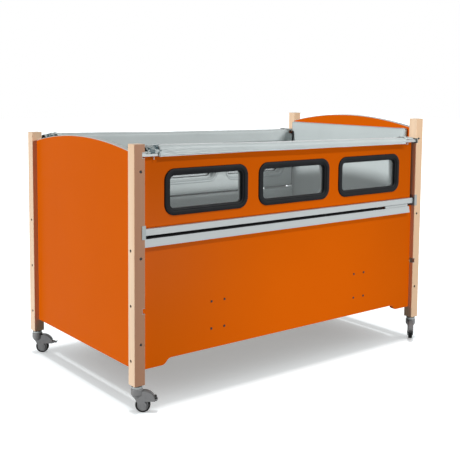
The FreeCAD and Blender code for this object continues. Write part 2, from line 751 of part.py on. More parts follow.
gasket_inner = d.gasket_face + d.gasket_step
pane_inset = gasket_inner - d.pane_edge
pane_front = front_face + d.pane_depth
gaskets = cut(
    fuse(window_ring(front_face - d.gasket_proud, front_face, zero, d.gasket_face),
         window_ring(front_face, back_face - d.gasket_back, d.gasket_lap + d.shaft_gap,
                     gasket_inner)),
    *window_plates(pane_front - d.shaft_gap, pane_front + d.pane_thick + d.shaft_gap,
                   pane_inset - d.shaft_gap))
panes = group(*window_plates(pane_front, pane_front + d.pane_thick, pane_inset))

# cloth cover drawn over the top rail, fuller towards the foot end
cover_front = rail_front - d.cover_wall
cover_back = -(pad_face_y - d.seat_gap - d.cover_wall)
cover_back_bottom = up(top_rail_bottom - d.cover_back_drop)
cover_sections = []
for place_share, top_share in zip(COVER_PLACE_SHARES, COVER_TOP_SHARES):
    crown = up(top_rail_top + d.cover_head_rise
               + (d.cover_foot_rise - d.cover_head_rise) * top_share)
    section = doc.addObject("Sketcher::SketchObject", "section")
    section.Placement = FreeCAD.Placement(
        FreeCAD.Vector(), FreeCAD.Rotation(FreeCAD.Vector(1, 1, 1), 120))
    bind(section, "Placement.Base.x", -top_rail_end + top_rail_end * 2 * place_share)
    draw(section, [
        (cover_back, cover_back_bottom), (cover_back, crown - d.cover_round),
        (cover_back - d.cover_round, crown, d.cover_round),
        (cover_front + d.cover_round, crown),
        (cover_front, crown - d.cover_round, d.cover_round),
        (cover_front, up(top_rail_bottom - d.cover_front_drop))])
    cover_sections.append(section)
cover_loft = doc.addObject("Part::Loft", "cover_loft")
cover_loft.Sections = cover_sections
cover_loft.Solid = True
cover_loft.Ruled = False
pad_back = -(pad_face_y - d.seat_gap)
cover_hollow = prism("YZ", -(top_rail_end + d.overrun), top_rail_end + d.overrun, [
    (rail_front - d.seat_gap, cover_back_bottom - d.overrun),
    (pad_back, cover_back_bottom - d.overrun), (pad_back, rest_on_panel),
    (top_rail_back + d.seat_gap, rest_on_panel),
    (top_rail_back + d.seat_gap, up(top_rail_top + d.seat_gap)),
    (rail_front - d.seat_gap, up(top_rail_top + d.seat_gap))])
cover = cut(cover_loft, cover_hollow)

flap_pieces = {
    "flap_panel": flap_panel,
    "flap_bottom_rail": flap_rail,
    "flap_top_rail": top_rail,
    "flap_cover": cover,
    "flap_gaskets": gaskets,
    "flap_panes": panes,
    "flap_pad": make_side_pad(up(side_pad_top + d.pad_seam), up(flap_panel_top), d.pad_thick,
                              WINDOWS),
}
for name, piece in flap_pieces.items():
    node(name + "_front", piece)
    node(name + "_rear", to_rear(piece))

# latch bars that slide out of the top rails into the posts, with release pins
bar_tip = -(inner_x + d.latch_reach)
bar_low = up(latch_level - d.latch_bar_height / 2)
latch_bar = fuse(
    box((bar_tip, bar_tip + d.latch_bar_length),
        (latch_y - d.latch_bar_thick / 2, latch_y + d.latch_bar_thick / 2),
        (bar_low, bar_low + d.latch_bar_height)),
    rod("Z", d.latch_pin_radius, bar_low - d.latch_pin_drop, bar_low + d.latch_pin_radius,
        (-(inner_x - d.latch_pin_place), latch_y)))
for name, piece in zip(("foot_front", "foot_rear", "head_front", "head_rear"), four(latch_bar)):
    node("latch_bar_" + name, piece)


# castors, drawn about the stem's axis with the wheel trailing towards +X
def turned(plane, path):
    """A body turned about the upright axis of its sketch."""
    body = doc.addObject("PartDesign::Body", "turned")
    origin = [face for face in body.Origin.OriginFeatures if face.Role == PLANES[plane]]
    sketch = body.newObject("Sketcher::SketchObject", "profile")
    sketch.AttachmentSupport = (origin[0], "")
    sketch.MapMode = "FlatFace"
    draw(sketch, path)
    turn = body.newObject("PartDesign::Revolution", "turn")
    turn.Profile = sketch
    turn.ReferenceAxis = (sketch, ["V_Axis"])
    turn.Angle = 360
    return put(body)


axle = (d.castor_trail, d.wheel_radius)
half_fork = d.fork_width / 2
half_well = half_fork - d.fork_wall
hood_centre = (d.castor_trail + d.hood_forward, d.wheel_radius + d.hood_rise)
pedal_pin = (d.pedal_pin_forward, d.pedal_pin_height)


def across_rod(radius, half, centre):
    return rod("Y", radius, -half, half, centre)


def common(one, two):
    shared = doc.addObject("Part::Common", "shared")
    shared.Base = one
    shared.Tool = two
    return shared


dome = turned("XZ", [
    (zero, d.head_cone_bottom), (d.head_cone_radius, d.head_cone_bottom),
    (d.head_radius, d.head_bottom), (d.head_radius, d.head_top - d.head_round),
    (d.head_radius - d.head_round, d.head_top, d.head_round), (zero, d.head_top)])
leg = prism("XZ", -half_fork, half_fork, [
    (axle[0] - d.hub_boss_radius, axle[1]), (axle[0] + d.hub_boss_radius, axle[1]),
    (d.head_radius / 2, d.head_top - d.head_round * 2),
    (-d.head_radius / 2, d.head_top - d.head_round * 2),
    (-d.head_cone_radius, d.head_bottom)])
hood_reach = hood_centre[0] + d.hood_radius
hood = common(across_rod(d.hood_radius, half_fork, hood_centre),
              box((zero, hood_reach + d.overrun),
                  (-(half_fork + d.overrun), half_fork + d.overrun),
                  (d.hood_bottom, d.head_top)))
band_half = d.band_width / 2
band = common(
    cut(across_rod(d.hood_radius + d.band_thick, band_half, hood_centre),
        across_rod(d.hood_radius - d.hood_wall / 2, half_fork, hood_centre)),
    box((d.head_cone_radius, hood_reach + d.overrun), (-half_fork, half_fork),
        (d.band_end, d.head_top)))
well = fuse(
    across_rod(d.well_radius, half_well, axle),
    common(across_rod(d.hood_radius - d.hood_wall, half_well, hood_centre),
           box((d.head_cone_radius + d.overrun, hood_reach + d.overrun),
               (-half_fork, half_fork), (zero, d.head_top))))
ear_half = d.pedal_width / 2 + d.ear_gap
ears = cut(
    fuse(across_rod(d.knuckle_radius, ear_half + d.ear_wall, pedal_pin),
         box((pedal_pin[0] - d.knuckle_radius * 3, pedal_pin[0]),
             (-(ear_half + d.ear_wall), ear_half + d.ear_wall),
             (pedal_pin[1] - d.ear_height / 2, pedal_pin[1] + d.ear_height / 2))),
    box((zero, pedal_pin[0] + d.knuckle_radius * 2), (-ear_half, ear_half),
        (zero, d.head_top)))
stem_bore = rod("Z", d.stem_radius + d.shaft_gap, d.ring_bottom - d.stem_drop - d.seat_gap,
                d.head_top + d.overrun, (zero, zero))
pedal_room = across_rod(d.knuckle_radius + d.ear_gap, ear_half, pedal_pin)
axle_cap = rod("Y", d.axle_cap_radius, half_fork, half_fork + d.axle_cap_thick, axle)
castor_head = fuse(
    cut(fuse(dome, leg, hood, across_rod(d.hub_boss_radius, half_fork, axle)),
        well, stem_bore, pedal_room),
    band, ears,
    across_rod(d.axle_radius, half_fork + d.axle_cap_thick, axle),
    axle_cap, to_rear(axle_cap),
    across_rod(d.pedal_pin_radius, ear_half + d.ear_wall, pedal_pin))

# wheel: a core that runs on the axle and a rounded tyre
axle_bore = across_rod(d.axle_radius + d.shaft_gap, half_fork, axle)
wheel_core = cut(across_rod(d.core_radius, d.core_width / 2, axle), axle_bore)
tyre_half = d.tyre_width / 2
tyre_ring = turned("XY", [
    (d.core_radius, -tyre_half), (d.wheel_radius - d.tyre_round, -tyre_half),
    (d.wheel_radius, -tyre_half + d.tyre_round, d.tyre_round),
    (d.wheel_radius, tyre_half - d.tyre_round),
    (d.wheel_radius - d.tyre_round, tyre_half, d.tyre_round), (d.core_radius, tyre_half)])
put(tyre_ring, axle[0], zero, axle[1])

# brake pedal, drawn about its pin, with a tongue turned up at the tip
pedal_half = d.pedal_width / 2
half_thick = d.pedal_thick / 2
tongue = prism("XZ", -pedal_half, pedal_half, [
    (zero, -half_thick), (d.pedal_length - half_thick, -half_thick),
    (d.pedal_length, d.pedal_tip_rise), (d.pedal_length - half_thick, d.pedal_tip_rise),
    (d.pedal_length - d.pedal_thick, half_thick / 2), (zero, half_thick)])
pedal = cut(fuse(tongue, across_rod(d.knuckle_radius, pedal_half, (zero, zero))),
            across_rod(d.pedal_pin_radius + d.shaft_gap, pedal_half + d.overrun, (zero, zero)))

# what stays with each post: bearing ring, disc and stem
ring_top = d.ring_bottom + d.ring_height
castor_stem = turned("XZ", [
    (zero, d.ring_bottom - d.stem_drop), (d.stem_radius, d.ring_bottom - d.stem_drop),
    (d.stem_radius, d.ring_bottom), (d.ring_radius, d.ring_bottom), (d.ring_radius, ring_top),
    (d.disc_radius, ring_top), (d.disc_radius, d.castor_height),
    (d.stem_radius, d.castor_height), (d.stem_radius, up(d.stem_rise)), (zero, up(d.stem_rise))])
node("castor_stems", group(*four(put(group(castor_stem), *post_middle))))


def turn_about(thing, axis, angle, x=zero, y=zero, z=zero):
    """A copy turned by an angle and then put in its place."""
    copy = group(thing)
    copy.Placement = FreeCAD.Placement(FreeCAD.Vector(), FreeCAD.Rotation(axis, angle))
    return put(copy, x, y, z)


for corner, (trail_angle, folded) in CASTORS.items():
    end, side = corner.split("_")
    place = (post_middle[0] if end == "foot" else -post_middle[0],
             post_middle[1] if side == "front" else -post_middle[1])
    fold = -PEDAL_FOLD_ANGLE if folded else 0
    pieces = {
        "castor_head": castor_head,
        "wheel_core": wheel_core,
        "tyre": tyre_ring,
        "pedal": turn_about(pedal, FreeCAD.Vector(0, 1, 0), fold, pedal_pin[0], zero,
                            pedal_pin[1]),
    }
    for name, piece in pieces.items():
        turned_piece = turn_about(piece, FreeCAD.Vector(0, 0, 1), trail_angle, *place)
        node("%s_%s" % (name, corner), turned_piece)

# check every object and write each sub-part under its own name
doc.recompute()
faults = [thing.Label for thing in doc.Objects
          if "Invalid" in thing.State or "Error" in thing.State]
for label, thing in nodes.items():
    if thing.Shape.isNull() or not thing.Shape.isValid() or not thing.Shape.Solids:
        faults.append(label)
if faults:
    raise RuntimeError("these failed: " + ", ".join(faults))
os.makedirs("parts", exist_ok=True)
for label, thing in nodes.items():
    thing.Shape.exportStep(os.path.join("parts", label + ".step"))
whole = FreeCAD.BoundBox()
for thing in nodes.values():
    whole.add(thing.Shape.BoundBox)
print(len(nodes), "nodes", whole)
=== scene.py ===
import math

import bmesh
import bpy
from mathutils import Matrix, Vector, noise
from mathutils.bvhtree import BVHTree


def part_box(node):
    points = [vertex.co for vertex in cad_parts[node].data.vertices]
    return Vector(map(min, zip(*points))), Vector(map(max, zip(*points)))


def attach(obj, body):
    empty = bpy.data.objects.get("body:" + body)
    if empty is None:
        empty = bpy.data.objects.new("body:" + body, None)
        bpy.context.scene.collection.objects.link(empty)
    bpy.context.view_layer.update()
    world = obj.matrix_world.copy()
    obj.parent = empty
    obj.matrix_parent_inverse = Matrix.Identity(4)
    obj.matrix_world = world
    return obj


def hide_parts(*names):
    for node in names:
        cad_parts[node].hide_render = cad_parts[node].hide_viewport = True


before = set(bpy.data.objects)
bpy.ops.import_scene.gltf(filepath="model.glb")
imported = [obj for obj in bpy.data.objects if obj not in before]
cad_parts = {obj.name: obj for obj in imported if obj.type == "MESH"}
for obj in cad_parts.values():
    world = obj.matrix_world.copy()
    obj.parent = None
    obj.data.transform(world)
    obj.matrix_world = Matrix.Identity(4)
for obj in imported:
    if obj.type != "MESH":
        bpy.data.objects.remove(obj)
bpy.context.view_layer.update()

CORNERS = ("foot_front", "foot_rear", "head_front", "head_rear")


def low(node):
    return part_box(node)[0]


def high(node):
    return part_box(node)[1]


# Camera, at the photograph's height and distance
CAMERA_PLACE = Vector((-3.101, -3.967, 1.618))
CAMERA_TURN, CAMERA_DIP, CAMERA_ROLL = 51.94, -5.26, 0.52
CAMERA_LENS, CAMERA_SENSOR = 64.56, 36
CAMERA_SHIFT = (-0.006, -0.152)


def place_camera():
    lens = bpy.data.cameras.new("camera")
    lens.sensor_width = CAMERA_SENSOR
    lens.lens = CAMERA_LENS
    lens.shift_x, lens.shift_y = CAMERA_SHIFT
    camera = bpy.data.objects.new("camera", lens)
    bpy.context.scene.collection.objects.link(camera)
    turn, dip, roll = (math.radians(angle) for angle in (CAMERA_TURN, CAMERA_DIP, CAMERA_ROLL))
    ahead = Vector((math.cos(dip) * math.cos(turn), math.cos(dip) * math.sin(turn), math.sin(dip)))
    across = Vector((math.sin(turn), -math.cos(turn), 0))
    upward = across.cross(ahead)
    right = across * math.cos(roll) + upward * math.sin(roll)
    top = upward * math.cos(roll) - across * math.sin(roll)
    camera.matrix_world = Matrix.LocRotScale(
        CAMERA_PLACE, Matrix((right, top, -ahead)).transposed(), None)
    bpy.context.scene.camera = camera


place_camera()
bpy.context.scene.view_settings.view_transform = "Standard"


# Finishes
# A wave texture of scale 1 turns through this many radians in a metre
WAVE_TURN = 20
# The boards of the long sides are painted dark grey, as painted shade, on the faces nearer to the
# middle than this
INNER_SHADE_STARTS, INNER_SHADE_FULL = 0.5447, 0.5442


class Finish:
    """A material whose colour and relief are built up step by step."""

    def __init__(self, name, colour, roughness, **sockets):
        self.material = bpy.data.materials.new(name)
        self.material.use_nodes = True
        self.nodes = self.material.node_tree.nodes
        self.links = self.material.node_tree.links
        self.shader = self.nodes["Principled BSDF"]
        self.material.diffuse_color = (*colour, 1)
        self.shader.inputs["Base Color"].default_value = (*colour, 1)
        self.shader.inputs["Roughness"].default_value = roughness
        for socket, value in sockets.items():
            self.shader.inputs[socket.replace("_", " ")].default_value = value
        self.where = self.nodes.new("ShaderNodeTexCoord").outputs["Object"]
        self.relief = None

    def stretched(self, scale):
        mapping = self.nodes.new("ShaderNodeMapping")
        mapping.inputs["Scale"].default_value = scale
        self.links.new(self.where, mapping.inputs["Vector"])
        return mapping.outputs["Vector"]

    def clouds(self, scale, detail=3.0, rough=0.5):
        """Noise of so many lumps per metre on each axis."""
        made = self.nodes.new("ShaderNodeTexNoise")
        made.inputs["Scale"].default_value = 1
        made.inputs["Detail"].default_value = detail
        made.inputs["Roughness"].default_value = rough
        self.links.new(self.stretched(scale), made.inputs["Vector"])
        return made.outputs["Fac"]

    def threads(self, axis, per_metre):
        made = self.nodes.new("ShaderNodeTexWave")
        made.bands_direction = axis
        made.inputs["Scale"].default_value = per_metre / WAVE_TURN * math.pi
        made.inputs["Distortion"].default_value = 0.3
        self.links.new(self.where, made.inputs["Vector"])
        return made.outputs["Fac"]

    def share_of(self, vector, axis):
        """One part of a vector, without its sign."""
        parts = self.nodes.new("ShaderNodeSeparateXYZ")
        self.links.new(vector, parts.inputs[0])
        size = self.nodes.new("ShaderNodeMath")
        size.operation = "ABSOLUTE"
        self.links.new(parts.outputs[axis], size.inputs[0])
        return size.outputs[0]

    def facing(self, axis):
        """High on the faces that look along one axis."""
        return self.share_of(self.nodes.new("ShaderNodeNewGeometry").outputs["Normal"], axis)

    def ramp(self, factor, start, stop):
        made = self.nodes.new("ShaderNodeMapRange")
        made.inputs["From Min"].default_value = start
        made.inputs["From Max"].default_value = stop
        self.links.new(factor, made.inputs["Value"])
        return made.outputs["Result"]

    def tint(self, factor, colour, strength=1.0):
        """Mixes a second colour in where the factor is high."""
        mix = self.nodes.new("ShaderNodeMix")
        mix.data_type = "RGBA"
        base = self.shader.inputs["Base Color"]
        if base.is_linked:
            self.links.new(base.links[0].from_socket, mix.inputs["A"])
        else:
            mix.inputs["A"].default_value = base.default_value
        mix.inputs["B"].default_value = (*colour, 1)
        scaled = self.nodes.new("ShaderNodeMath")
        scaled.operation = "MULTIPLY"
        scaled.inputs[1].default_value = strength
        self.links.new(factor, scaled.inputs[0])
        self.links.new(scaled.outputs[0], mix.inputs["Factor"])
        self.links.new(mix.outputs["Result"], base)
        return self

    def raised(self, height, millimetres, strength=1.0):
        bump = self.nodes.new("ShaderNodeBump")
        bump.inputs["Distance"].default_value = millimetres / 1000
        bump.inputs["Strength"].default_value = strength
        self.links.new(height, bump.inputs["Height"])
        if self.relief:
            self.links.new(self.relief, bump.inputs["Normal"])
        self.relief = bump.outputs["Normal"]
        self.links.new(self.relief, self.shader.inputs["Normal"])
        return self

    def worn(self, factor, low_rough, high_rough):
        made = self.nodes.new("ShaderNodeMapRange")
        made.inputs["To Min"].default_value = low_rough
        made.inputs["To Max"].default_value = high_rough
        self.links.new(factor, made.inputs["Value"])
        self.links.new(made.outputs["Result"], self.shader.inputs["Roughness"])
        return self


def beech(name, along, colour, shaded_side_colour):
    """Straight-grained beech with its short dark flecks, along one axis. Its faces that look along Y
    are painted in a darker side colour, as painted shade.
    """
    wood = Finish(name, colour, 0.42, Specular_IOR_Level=0.3, Coat_Weight=0.05, Coat_Roughness=0.3)
    grain = [70.0, 70.0, 70.0]
    grain["XYZ".index(along)] = 1.6
    fleck = [650.0, 650.0, 650.0]
    fleck["XYZ".index(along)] = 60.0
    broad = [9.0, 9.0, 9.0]
    broad["XYZ".index(along)] = 0.7
    darker = [share * 0.74 for share in colour]
    redder = [colour[0] * 0.88, colour[1] * 0.72, colour[2] * 0.58]
    wood.tint(wood.ramp(wood.clouds(grain, 4.0, 0.6), 0.4, 0.75), darker, 0.6)
    wood.tint(wood.ramp(wood.clouds(broad, 2.0), 0.45, 0.75), redder, 0.5)
    wood.tint(wood.ramp(wood.clouds(fleck, 1.0), 0.64, 0.72), redder, 0.55)
    # Painted shade: the faces that look along Y take the darker side colour
    wood.tint(wood.facing("Y"), shaded_side_colour, 0.85)
    wood.raised(wood.clouds(grain, 4.0, 0.6), 0.15, 0.5)
    return wood.material


def orange_laminate(name, shaded_inside):
    """Orange board. On the long sides its faces towards the pads are painted dark grey, as painted
    shade where they show in the gaps.
    """
    board = Finish(name, (0.66, 0.113, 0.001), 0.36, IOR=1.08)
    board.tint(board.ramp(board.clouds((2.2, 2.2, 2.2), 2.0), 0.3, 0.8), (0.60, 0.098, 0.001), 0.35)
    board.raised(board.clouds((420, 420, 420), 2.0), 0.08, 0.35)
    board.worn(board.clouds((14, 14, 14), 4.0), 0.32, 0.42)
    if shaded_inside:
        # Painted shade: dark grey on the faces towards the pads
        inner = board.ramp(board.share_of(board.where, "Y"), INNER_SHADE_STARTS, INNER_SHADE_FULL)
        board.tint(inner, (0.10, 0.12, 0.125))
    return board.material


def pale_edging():
    edge = Finish("pale_edging", (0.52, 0.53, 0.50), 0.45)
    edge.raised(edge.clouds((500, 500, 500)), 0.05, 0.4)
    edge.tint(edge.ramp(edge.clouds((30, 30, 30)), 0.45, 0.8), (0.42, 0.43, 0.41), 0.5)
    return edge.material


def rail_metal(name, colour, along, roughness=0.38, metallic=0.35):
    """Light anodised metal, drawn along one axis."""
    metal = Finish(name, colour, roughness, Metallic=metallic)
    drawn = [700.0, 700.0, 700.0]
    drawn["XYZ".index(along)] = 3.0
    lines = metal.clouds(drawn, 2.0, 0.7)
    metal.tint(metal.ramp(lines, 0.3, 0.75), [share * 0.86 for share in colour], 0.5)
    metal.tint(metal.ramp(metal.clouds((5, 5, 5)), 0.5, 0.8), [share * 0.9 for share in colour], 0.5)
    metal.raised(lines, 0.03, 0.4)
    metal.worn(metal.clouds((40, 40, 40), 4.0), roughness - 0.06, roughness + 0.08)
    return metal.material


def dark_steel():
    steel = Finish("dark_screw_steel", (0.012, 0.012, 0.013), 0.4, Metallic=0.3)
    steel.worn(steel.clouds((300, 300, 300)), 0.28, 0.5)
    steel.tint(steel.ramp(steel.clouds((220, 220, 220)), 0.55, 0.8), (0.03, 0.03, 0.03), 0.6)
    return steel.material


def black_rubber(name="black_rubber", colour=(0.0055, 0.006, 0.0072), roughness=0.5):
    rubber = Finish(name, colour, roughness, Specular_IOR_Level=0.10)
    rubber.raised(rubber.clouds((900, 900, 900), 2.0), 0.06, 0.5)
    rubber.tint(rubber.ramp(rubber.clouds((18, 18, 18)), 0.45, 0.85),
                [share * 2.1 for share in colour], 0.5)
    rubber.worn(rubber.clouds((25, 25, 25), 4.0), roughness - 0.08, roughness + 0.12)
    return rubber.material


def window_pane(name, colour, cover):
    """A pane that hides the given share of what lies behind it."""
    pane = Finish(name, colour, 0.03, Alpha=cover, Specular_IOR_Level=0.7)
    pane.worn(pane.clouds((9, 9, 9), 5.0), 0.02, 0.07)
    return pane.material


def coated_cloth(name, colour, sheen=0.2):
    """Smooth coated cloth with a fine weave under the coat and soft creases."""
    cloth = Finish(name, colour, 0.5, Sheen_Weight=sheen, Sheen_Roughness=0.4)
    cloth.tint(cloth.ramp(cloth.clouds((3.5, 3.5, 3.5), 3.0), 0.35, 0.75),
               [share * 0.86 for share in colour], 0.5)
    for axis in "XYZ":
        cloth.raised(cloth.threads(axis, 900), 0.05, 0.25)
    cloth.raised(cloth.clouds((38, 38, 38), 4.0, 0.55), 0.9, 0.35)
    cloth.raised(cloth.clouds((1200, 1200, 1200), 1.0), 0.04, 0.3)
    cloth.worn(cloth.clouds((16, 16, 16), 4.0), 0.42, 0.6)
    return cloth.material


def shaded_gathered_end():
    """A gathered end of a cover, painted dark teal as painted shade in its folds, with the cloth's
    own pale colour on random folds and, as painted light, on the faces that look up.
    """
    cloth = Finish("shaded_gathered_end", (0.018, 0.055, 0.068), 0.5, Sheen_Weight=0.2)
    pale = (0.50, 0.56, 0.56)
    # Random folds keep the cloth's own pale colour
    cloth.tint(cloth.ramp(cloth.clouds((60, 30, 95), 2.0), 0.53, 0.60), pale, 0.9)
    # Painted light: the faces that look up are pale
    cloth.tint(cloth.ramp(cloth.facing("Z"), 0.70, 0.92), pale)
    cloth.raised(cloth.threads("X", 900), 0.05, 0.25)
    cloth.worn(cloth.clouds((16, 16, 16), 4.0), 0.42, 0.6)
    return cloth.material


def powder_paint():
    paint = Finish("powder_paint", (0.56, 0.56, 0.55), 0.45)
    paint.raised(paint.clouds((700, 700, 700), 2.0), 0.1, 0.5)
    paint.tint(paint.ramp(paint.clouds((8, 8, 8)), 0.5, 0.8), (0.47, 0.47, 0.46), 0.4)
    return paint.material


def moulded(name, colour):
    plastic = Finish(name, colour, 0.42)
    plastic.raised(plastic.clouds((1500, 1500, 1500), 2.0), 0.05, 0.5)
    plastic.tint(plastic.ramp(plastic.clouds((60, 60, 60), 4.0), 0.5, 0.8),
                 [share * 0.75 for share in colour], 0.5)
    plastic.worn(plastic.clouds((90, 90, 90), 4.0), 0.34, 0.54)
    return plastic.material


BEECH = beech("beech", "Z", (0.84, 0.62, 0.43), (0.70, 0.47, 0.29))
# The front foot post's beech: its front and back faces are painted much darker and redder, as
# painted shade where the light falls off
FRONT_POST_SHADED_BEECH = beech("beech_front_post_shade", "Z", (0.84, 0.62, 0.43), (0.36, 0.155, 0.08))
SLAT_BEECH = beech("slat_beech", "Y", (0.74, 0.57, 0.39), (0.66, 0.47, 0.30))
ORANGE = orange_laminate("orange_laminate", False)
# The long-side boards carry painted shade on their inner faces
SIDE_ORANGE = orange_laminate("orange_side_laminate", True)
EDGING = pale_edging()
RAIL = rail_metal("rail_metal", (0.445, 0.47, 0.473), "X")
BRACKET = rail_metal("bracket_steel", (0.33, 0.36, 0.36), "Z", 0.34, 0.5)
SCREW = dark_steel()
RUBBER = black_rubber()
TYRE = black_rubber("castor_tyre", (0.012, 0.012, 0.012), 0.58)
PANE = window_pane("clear_pane", (0.80, 0.86, 0.86), 0.07)
# The rear panes are a grey, half-covering copy of the clear pane: painted shade that dims the view
# through the far windows
SHADED_REAR_PANE = window_pane("rear_pane_painted_shade", (0.30, 0.33, 0.33), 0.55)
PAD_CLOTH = coated_cloth("pad_cloth", (0.51, 0.565, 0.565))
MATTRESS_CLOTH = coated_cloth("mattress_cloth", (0.60, 0.61, 0.60), 0.3)
BINDING = coated_cloth("binding_cloth", (0.40, 0.45, 0.455))
SHADED_GATHER = shaded_gathered_end()
THREAD = coated_cloth("seam_thread", (0.30, 0.34, 0.35))
PAINT = powder_paint()
GREY_PLASTIC = moulded("castor_grey", (0.185, 0.187, 0.19))
BLACK_PLASTIC = moulded("black_plastic", (0.014, 0.014, 0.015))

# The finish of each solid, by the start of its name. A longer start comes before a shorter one.
NODE_FINISH = {
    "post_foot_front": FRONT_POST_SHADED_BEECH, "post_": BEECH, "foot_panel": ORANGE, "head_panel": ORANGE,
    "side_panel": SIDE_ORANGE, "flap_panel": SIDE_ORANGE, "edge_trims": EDGING,
    "lower_rails": RAIL, "flap_bottom": RAIL, "flap_top": RAIL, "latch_bar": RAIL,
    "hinge_brackets": BRACKET, "catch_plates": BRACKET, "castor_stems": BRACKET,
    "bracket_screws": SCREW, "support_screws": SCREW, "panel_bolts": SCREW, "barrel_nuts": BRACKET,
    "rail_seals": RUBBER, "flap_gaskets": RUBBER, "flap_panes_rear": SHADED_REAR_PANE, "flap_panes": PANE,
    "support_brackets": PAINT, "base_frame": PAINT, "slats": SLAT_BEECH,
    "castor_head": GREY_PLASTIC, "wheel_core": GREY_PLASTIC, "pedal": BLACK_PLASTIC,
    "tyre": TYRE, "foot_pad": PAD_CLOTH, "head_pad": PAD_CLOTH, "side_pad": PAD_CLOTH,
    "flap_pad": PAD_CLOTH, "flap_cover": PAD_CLOTH, "mattress": MATTRESS_CLOTH,
}
for name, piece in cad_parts.items():
    finish = next(value for start, value in NODE_FINISH.items() if name.startswith(start))
    piece.data.materials.clear()
    piece.data.materials.append(finish)


# Making and placing pieces
def placed(name, data):
    """A new object in the scene, at the origin."""
    made = bpy.data.objects.new(name, data)
    bpy.context.scene.collection.objects.link(made)
    return made


def new_piece(name, mesh, finish):
    mesh.materials.append(finish)
    for face in mesh.polygons:
        face.use_smooth = True
    return placed(name, mesh)


def poured(name, shape, finish):
    """A piece from a finished working mesh, which is used up."""
    mesh = bpy.data.meshes.new(name)
    shape.to_mesh(mesh)
    shape.free()
    return new_piece(name, mesh, finish)


def from_bmesh(name, shape, finish):
    """A piece from a working mesh, with its faces turned outwards."""
    bmesh.ops.recalc_face_normals(shape, faces=shape.faces)
    return poured(name, shape, finish)


def settle(piece):
    """Applies the modifiers, so that only the finished mesh is left."""
    depsgraph = bpy.context.evaluated_depsgraph_get()
    mesh = bpy.data.meshes.new_from_object(piece.evaluated_get(depsgraph))
    piece.modifiers.clear()
    piece.data = mesh
    return piece


def mirrored(piece, name):
    """The twin of a piece on the other long side."""
    mesh = piece.data.copy()
    mesh.transform(Matrix.Diagonal((1, -1, 1, 1)))
    mesh.flip_normals()
    return placed(name, mesh)


def thickened(piece, thickness, offset):
    """Gives a skin of cloth its thickness. Its modifier is still to be settled."""
    thick = piece.modifiers.new("cloth", "SOLIDIFY")
    thick.thickness = thickness
    thick.offset = offset
    return piece


def refined(piece):
    finer = piece.modifiers.new("finer", "SUBSURF")
    finer.levels = finer.render_levels = 1
    return piece


def node_inputs(tree):
    """The identifiers of a node group's inputs, by their names."""
    return {item.name: item.identifier for item in tree.interface.items_tree
            if item.in_out == "INPUT"}


# Windows: where their middles are along the flap, and their outline
WINDOW_PLACES = (-0.606, 0.0, 0.606)
WINDOW_LEVEL = 1.0797
WINDOW_HALF_LENGTH, WINDOW_HALF_HEIGHT, WINDOW_RADIUS = 0.265, 0.118, 0.06
SHARPEST_RADIUS = 0.004
WINDOW_ARC_STEPS = 10
# The corners of a rectangle in turn, as signs
TURNS = ((1, 1), (-1, 1), (-1, -1), (1, -1))


def window_line(middle, inset, depth):
    """The outline of one window, drawn in by an inset, at a depth across."""
    half_x, half_z = WINDOW_HALF_LENGTH - inset, WINDOW_HALF_HEIGHT - inset
    radius = max(WINDOW_RADIUS - inset, SHARPEST_RADIUS)
    points = []
    for turn, (sx, sz) in enumerate(TURNS):
        centre = (middle + sx * (half_x - radius), WINDOW_LEVEL + sz * (half_z - radius))
        for step in range(WINDOW_ARC_STEPS + 1):
            angle = math.radians(90 * (turn + step / WINDOW_ARC_STEPS))
            points.append(Vector((centre[0] + radius * math.cos(angle), depth,
                                  centre[1] + radius * math.sin(angle))))
    return points


# Window gaskets: a rounded outer band, a groove and an inner lip
GASKET_SECTION = (
    (0.0, 0.5720), (0.0, 0.5760), (0.0012, 0.5780), (0.004, 0.5789), (0.012, 0.5790),
    (0.020, 0.5789), (0.0235, 0.5779), (0.0250, 0.5755), (0.0262, 0.5740), (0.0300, 0.5735),
    (0.0340, 0.5728), (0.0358, 0.5705), (0.0360, 0.5610), (0.0360, 0.5470), (0.0345, 0.5461),
    (0.0172, 0.5461), (0.0172, 0.5719))


def window_ring(name, middle, section, finish, closed):
    """A section of (inset, depth) places led round one window."""
    shape = bmesh.new()
    loops = [[shape.verts.new(point) for point in window_line(middle, inset, -depth)]
             for inset, depth in section]
    pairs = list(zip(loops, loops[1:]))
    if closed:
        pairs.append((loops[-1], loops[0]))
    for one, two in pairs:
        for index in range(len(one)):
            shape.faces.new((one[index - 1], one[index], two[index], two[index - 1]))
    return from_bmesh(name, shape, finish)


def joined(name, parts):
    """One piece from several, which are used up."""
    shape = bmesh.new()
    for part in parts:
        shape.from_mesh(part.data)
    finish = parts[0].data.materials[0]
    for part in parts:
        bpy.data.objects.remove(part)
    return poured(name, shape, finish)


gaskets = joined("window_gaskets_front", [
    window_ring("gasket_ring", middle, GASKET_SECTION, RUBBER, True) for middle in WINDOW_PLACES])
gaskets_rear = mirrored(gaskets, "window_gaskets_rear")
for piece, side in ((gaskets, "front"), (gaskets_rear, "rear")):
    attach(piece, "flap_" + side)
    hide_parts("flap_gaskets_" + side)


# Padded pieces: the plain pad is drawn in a little and then blown up as cloth
PRESSURE = 4.0
CLOTH_QUALITY = 4
CLOTH_FRAMES = 16
SMOOTHINGS = 2
SAME_PLACE = 1e-5


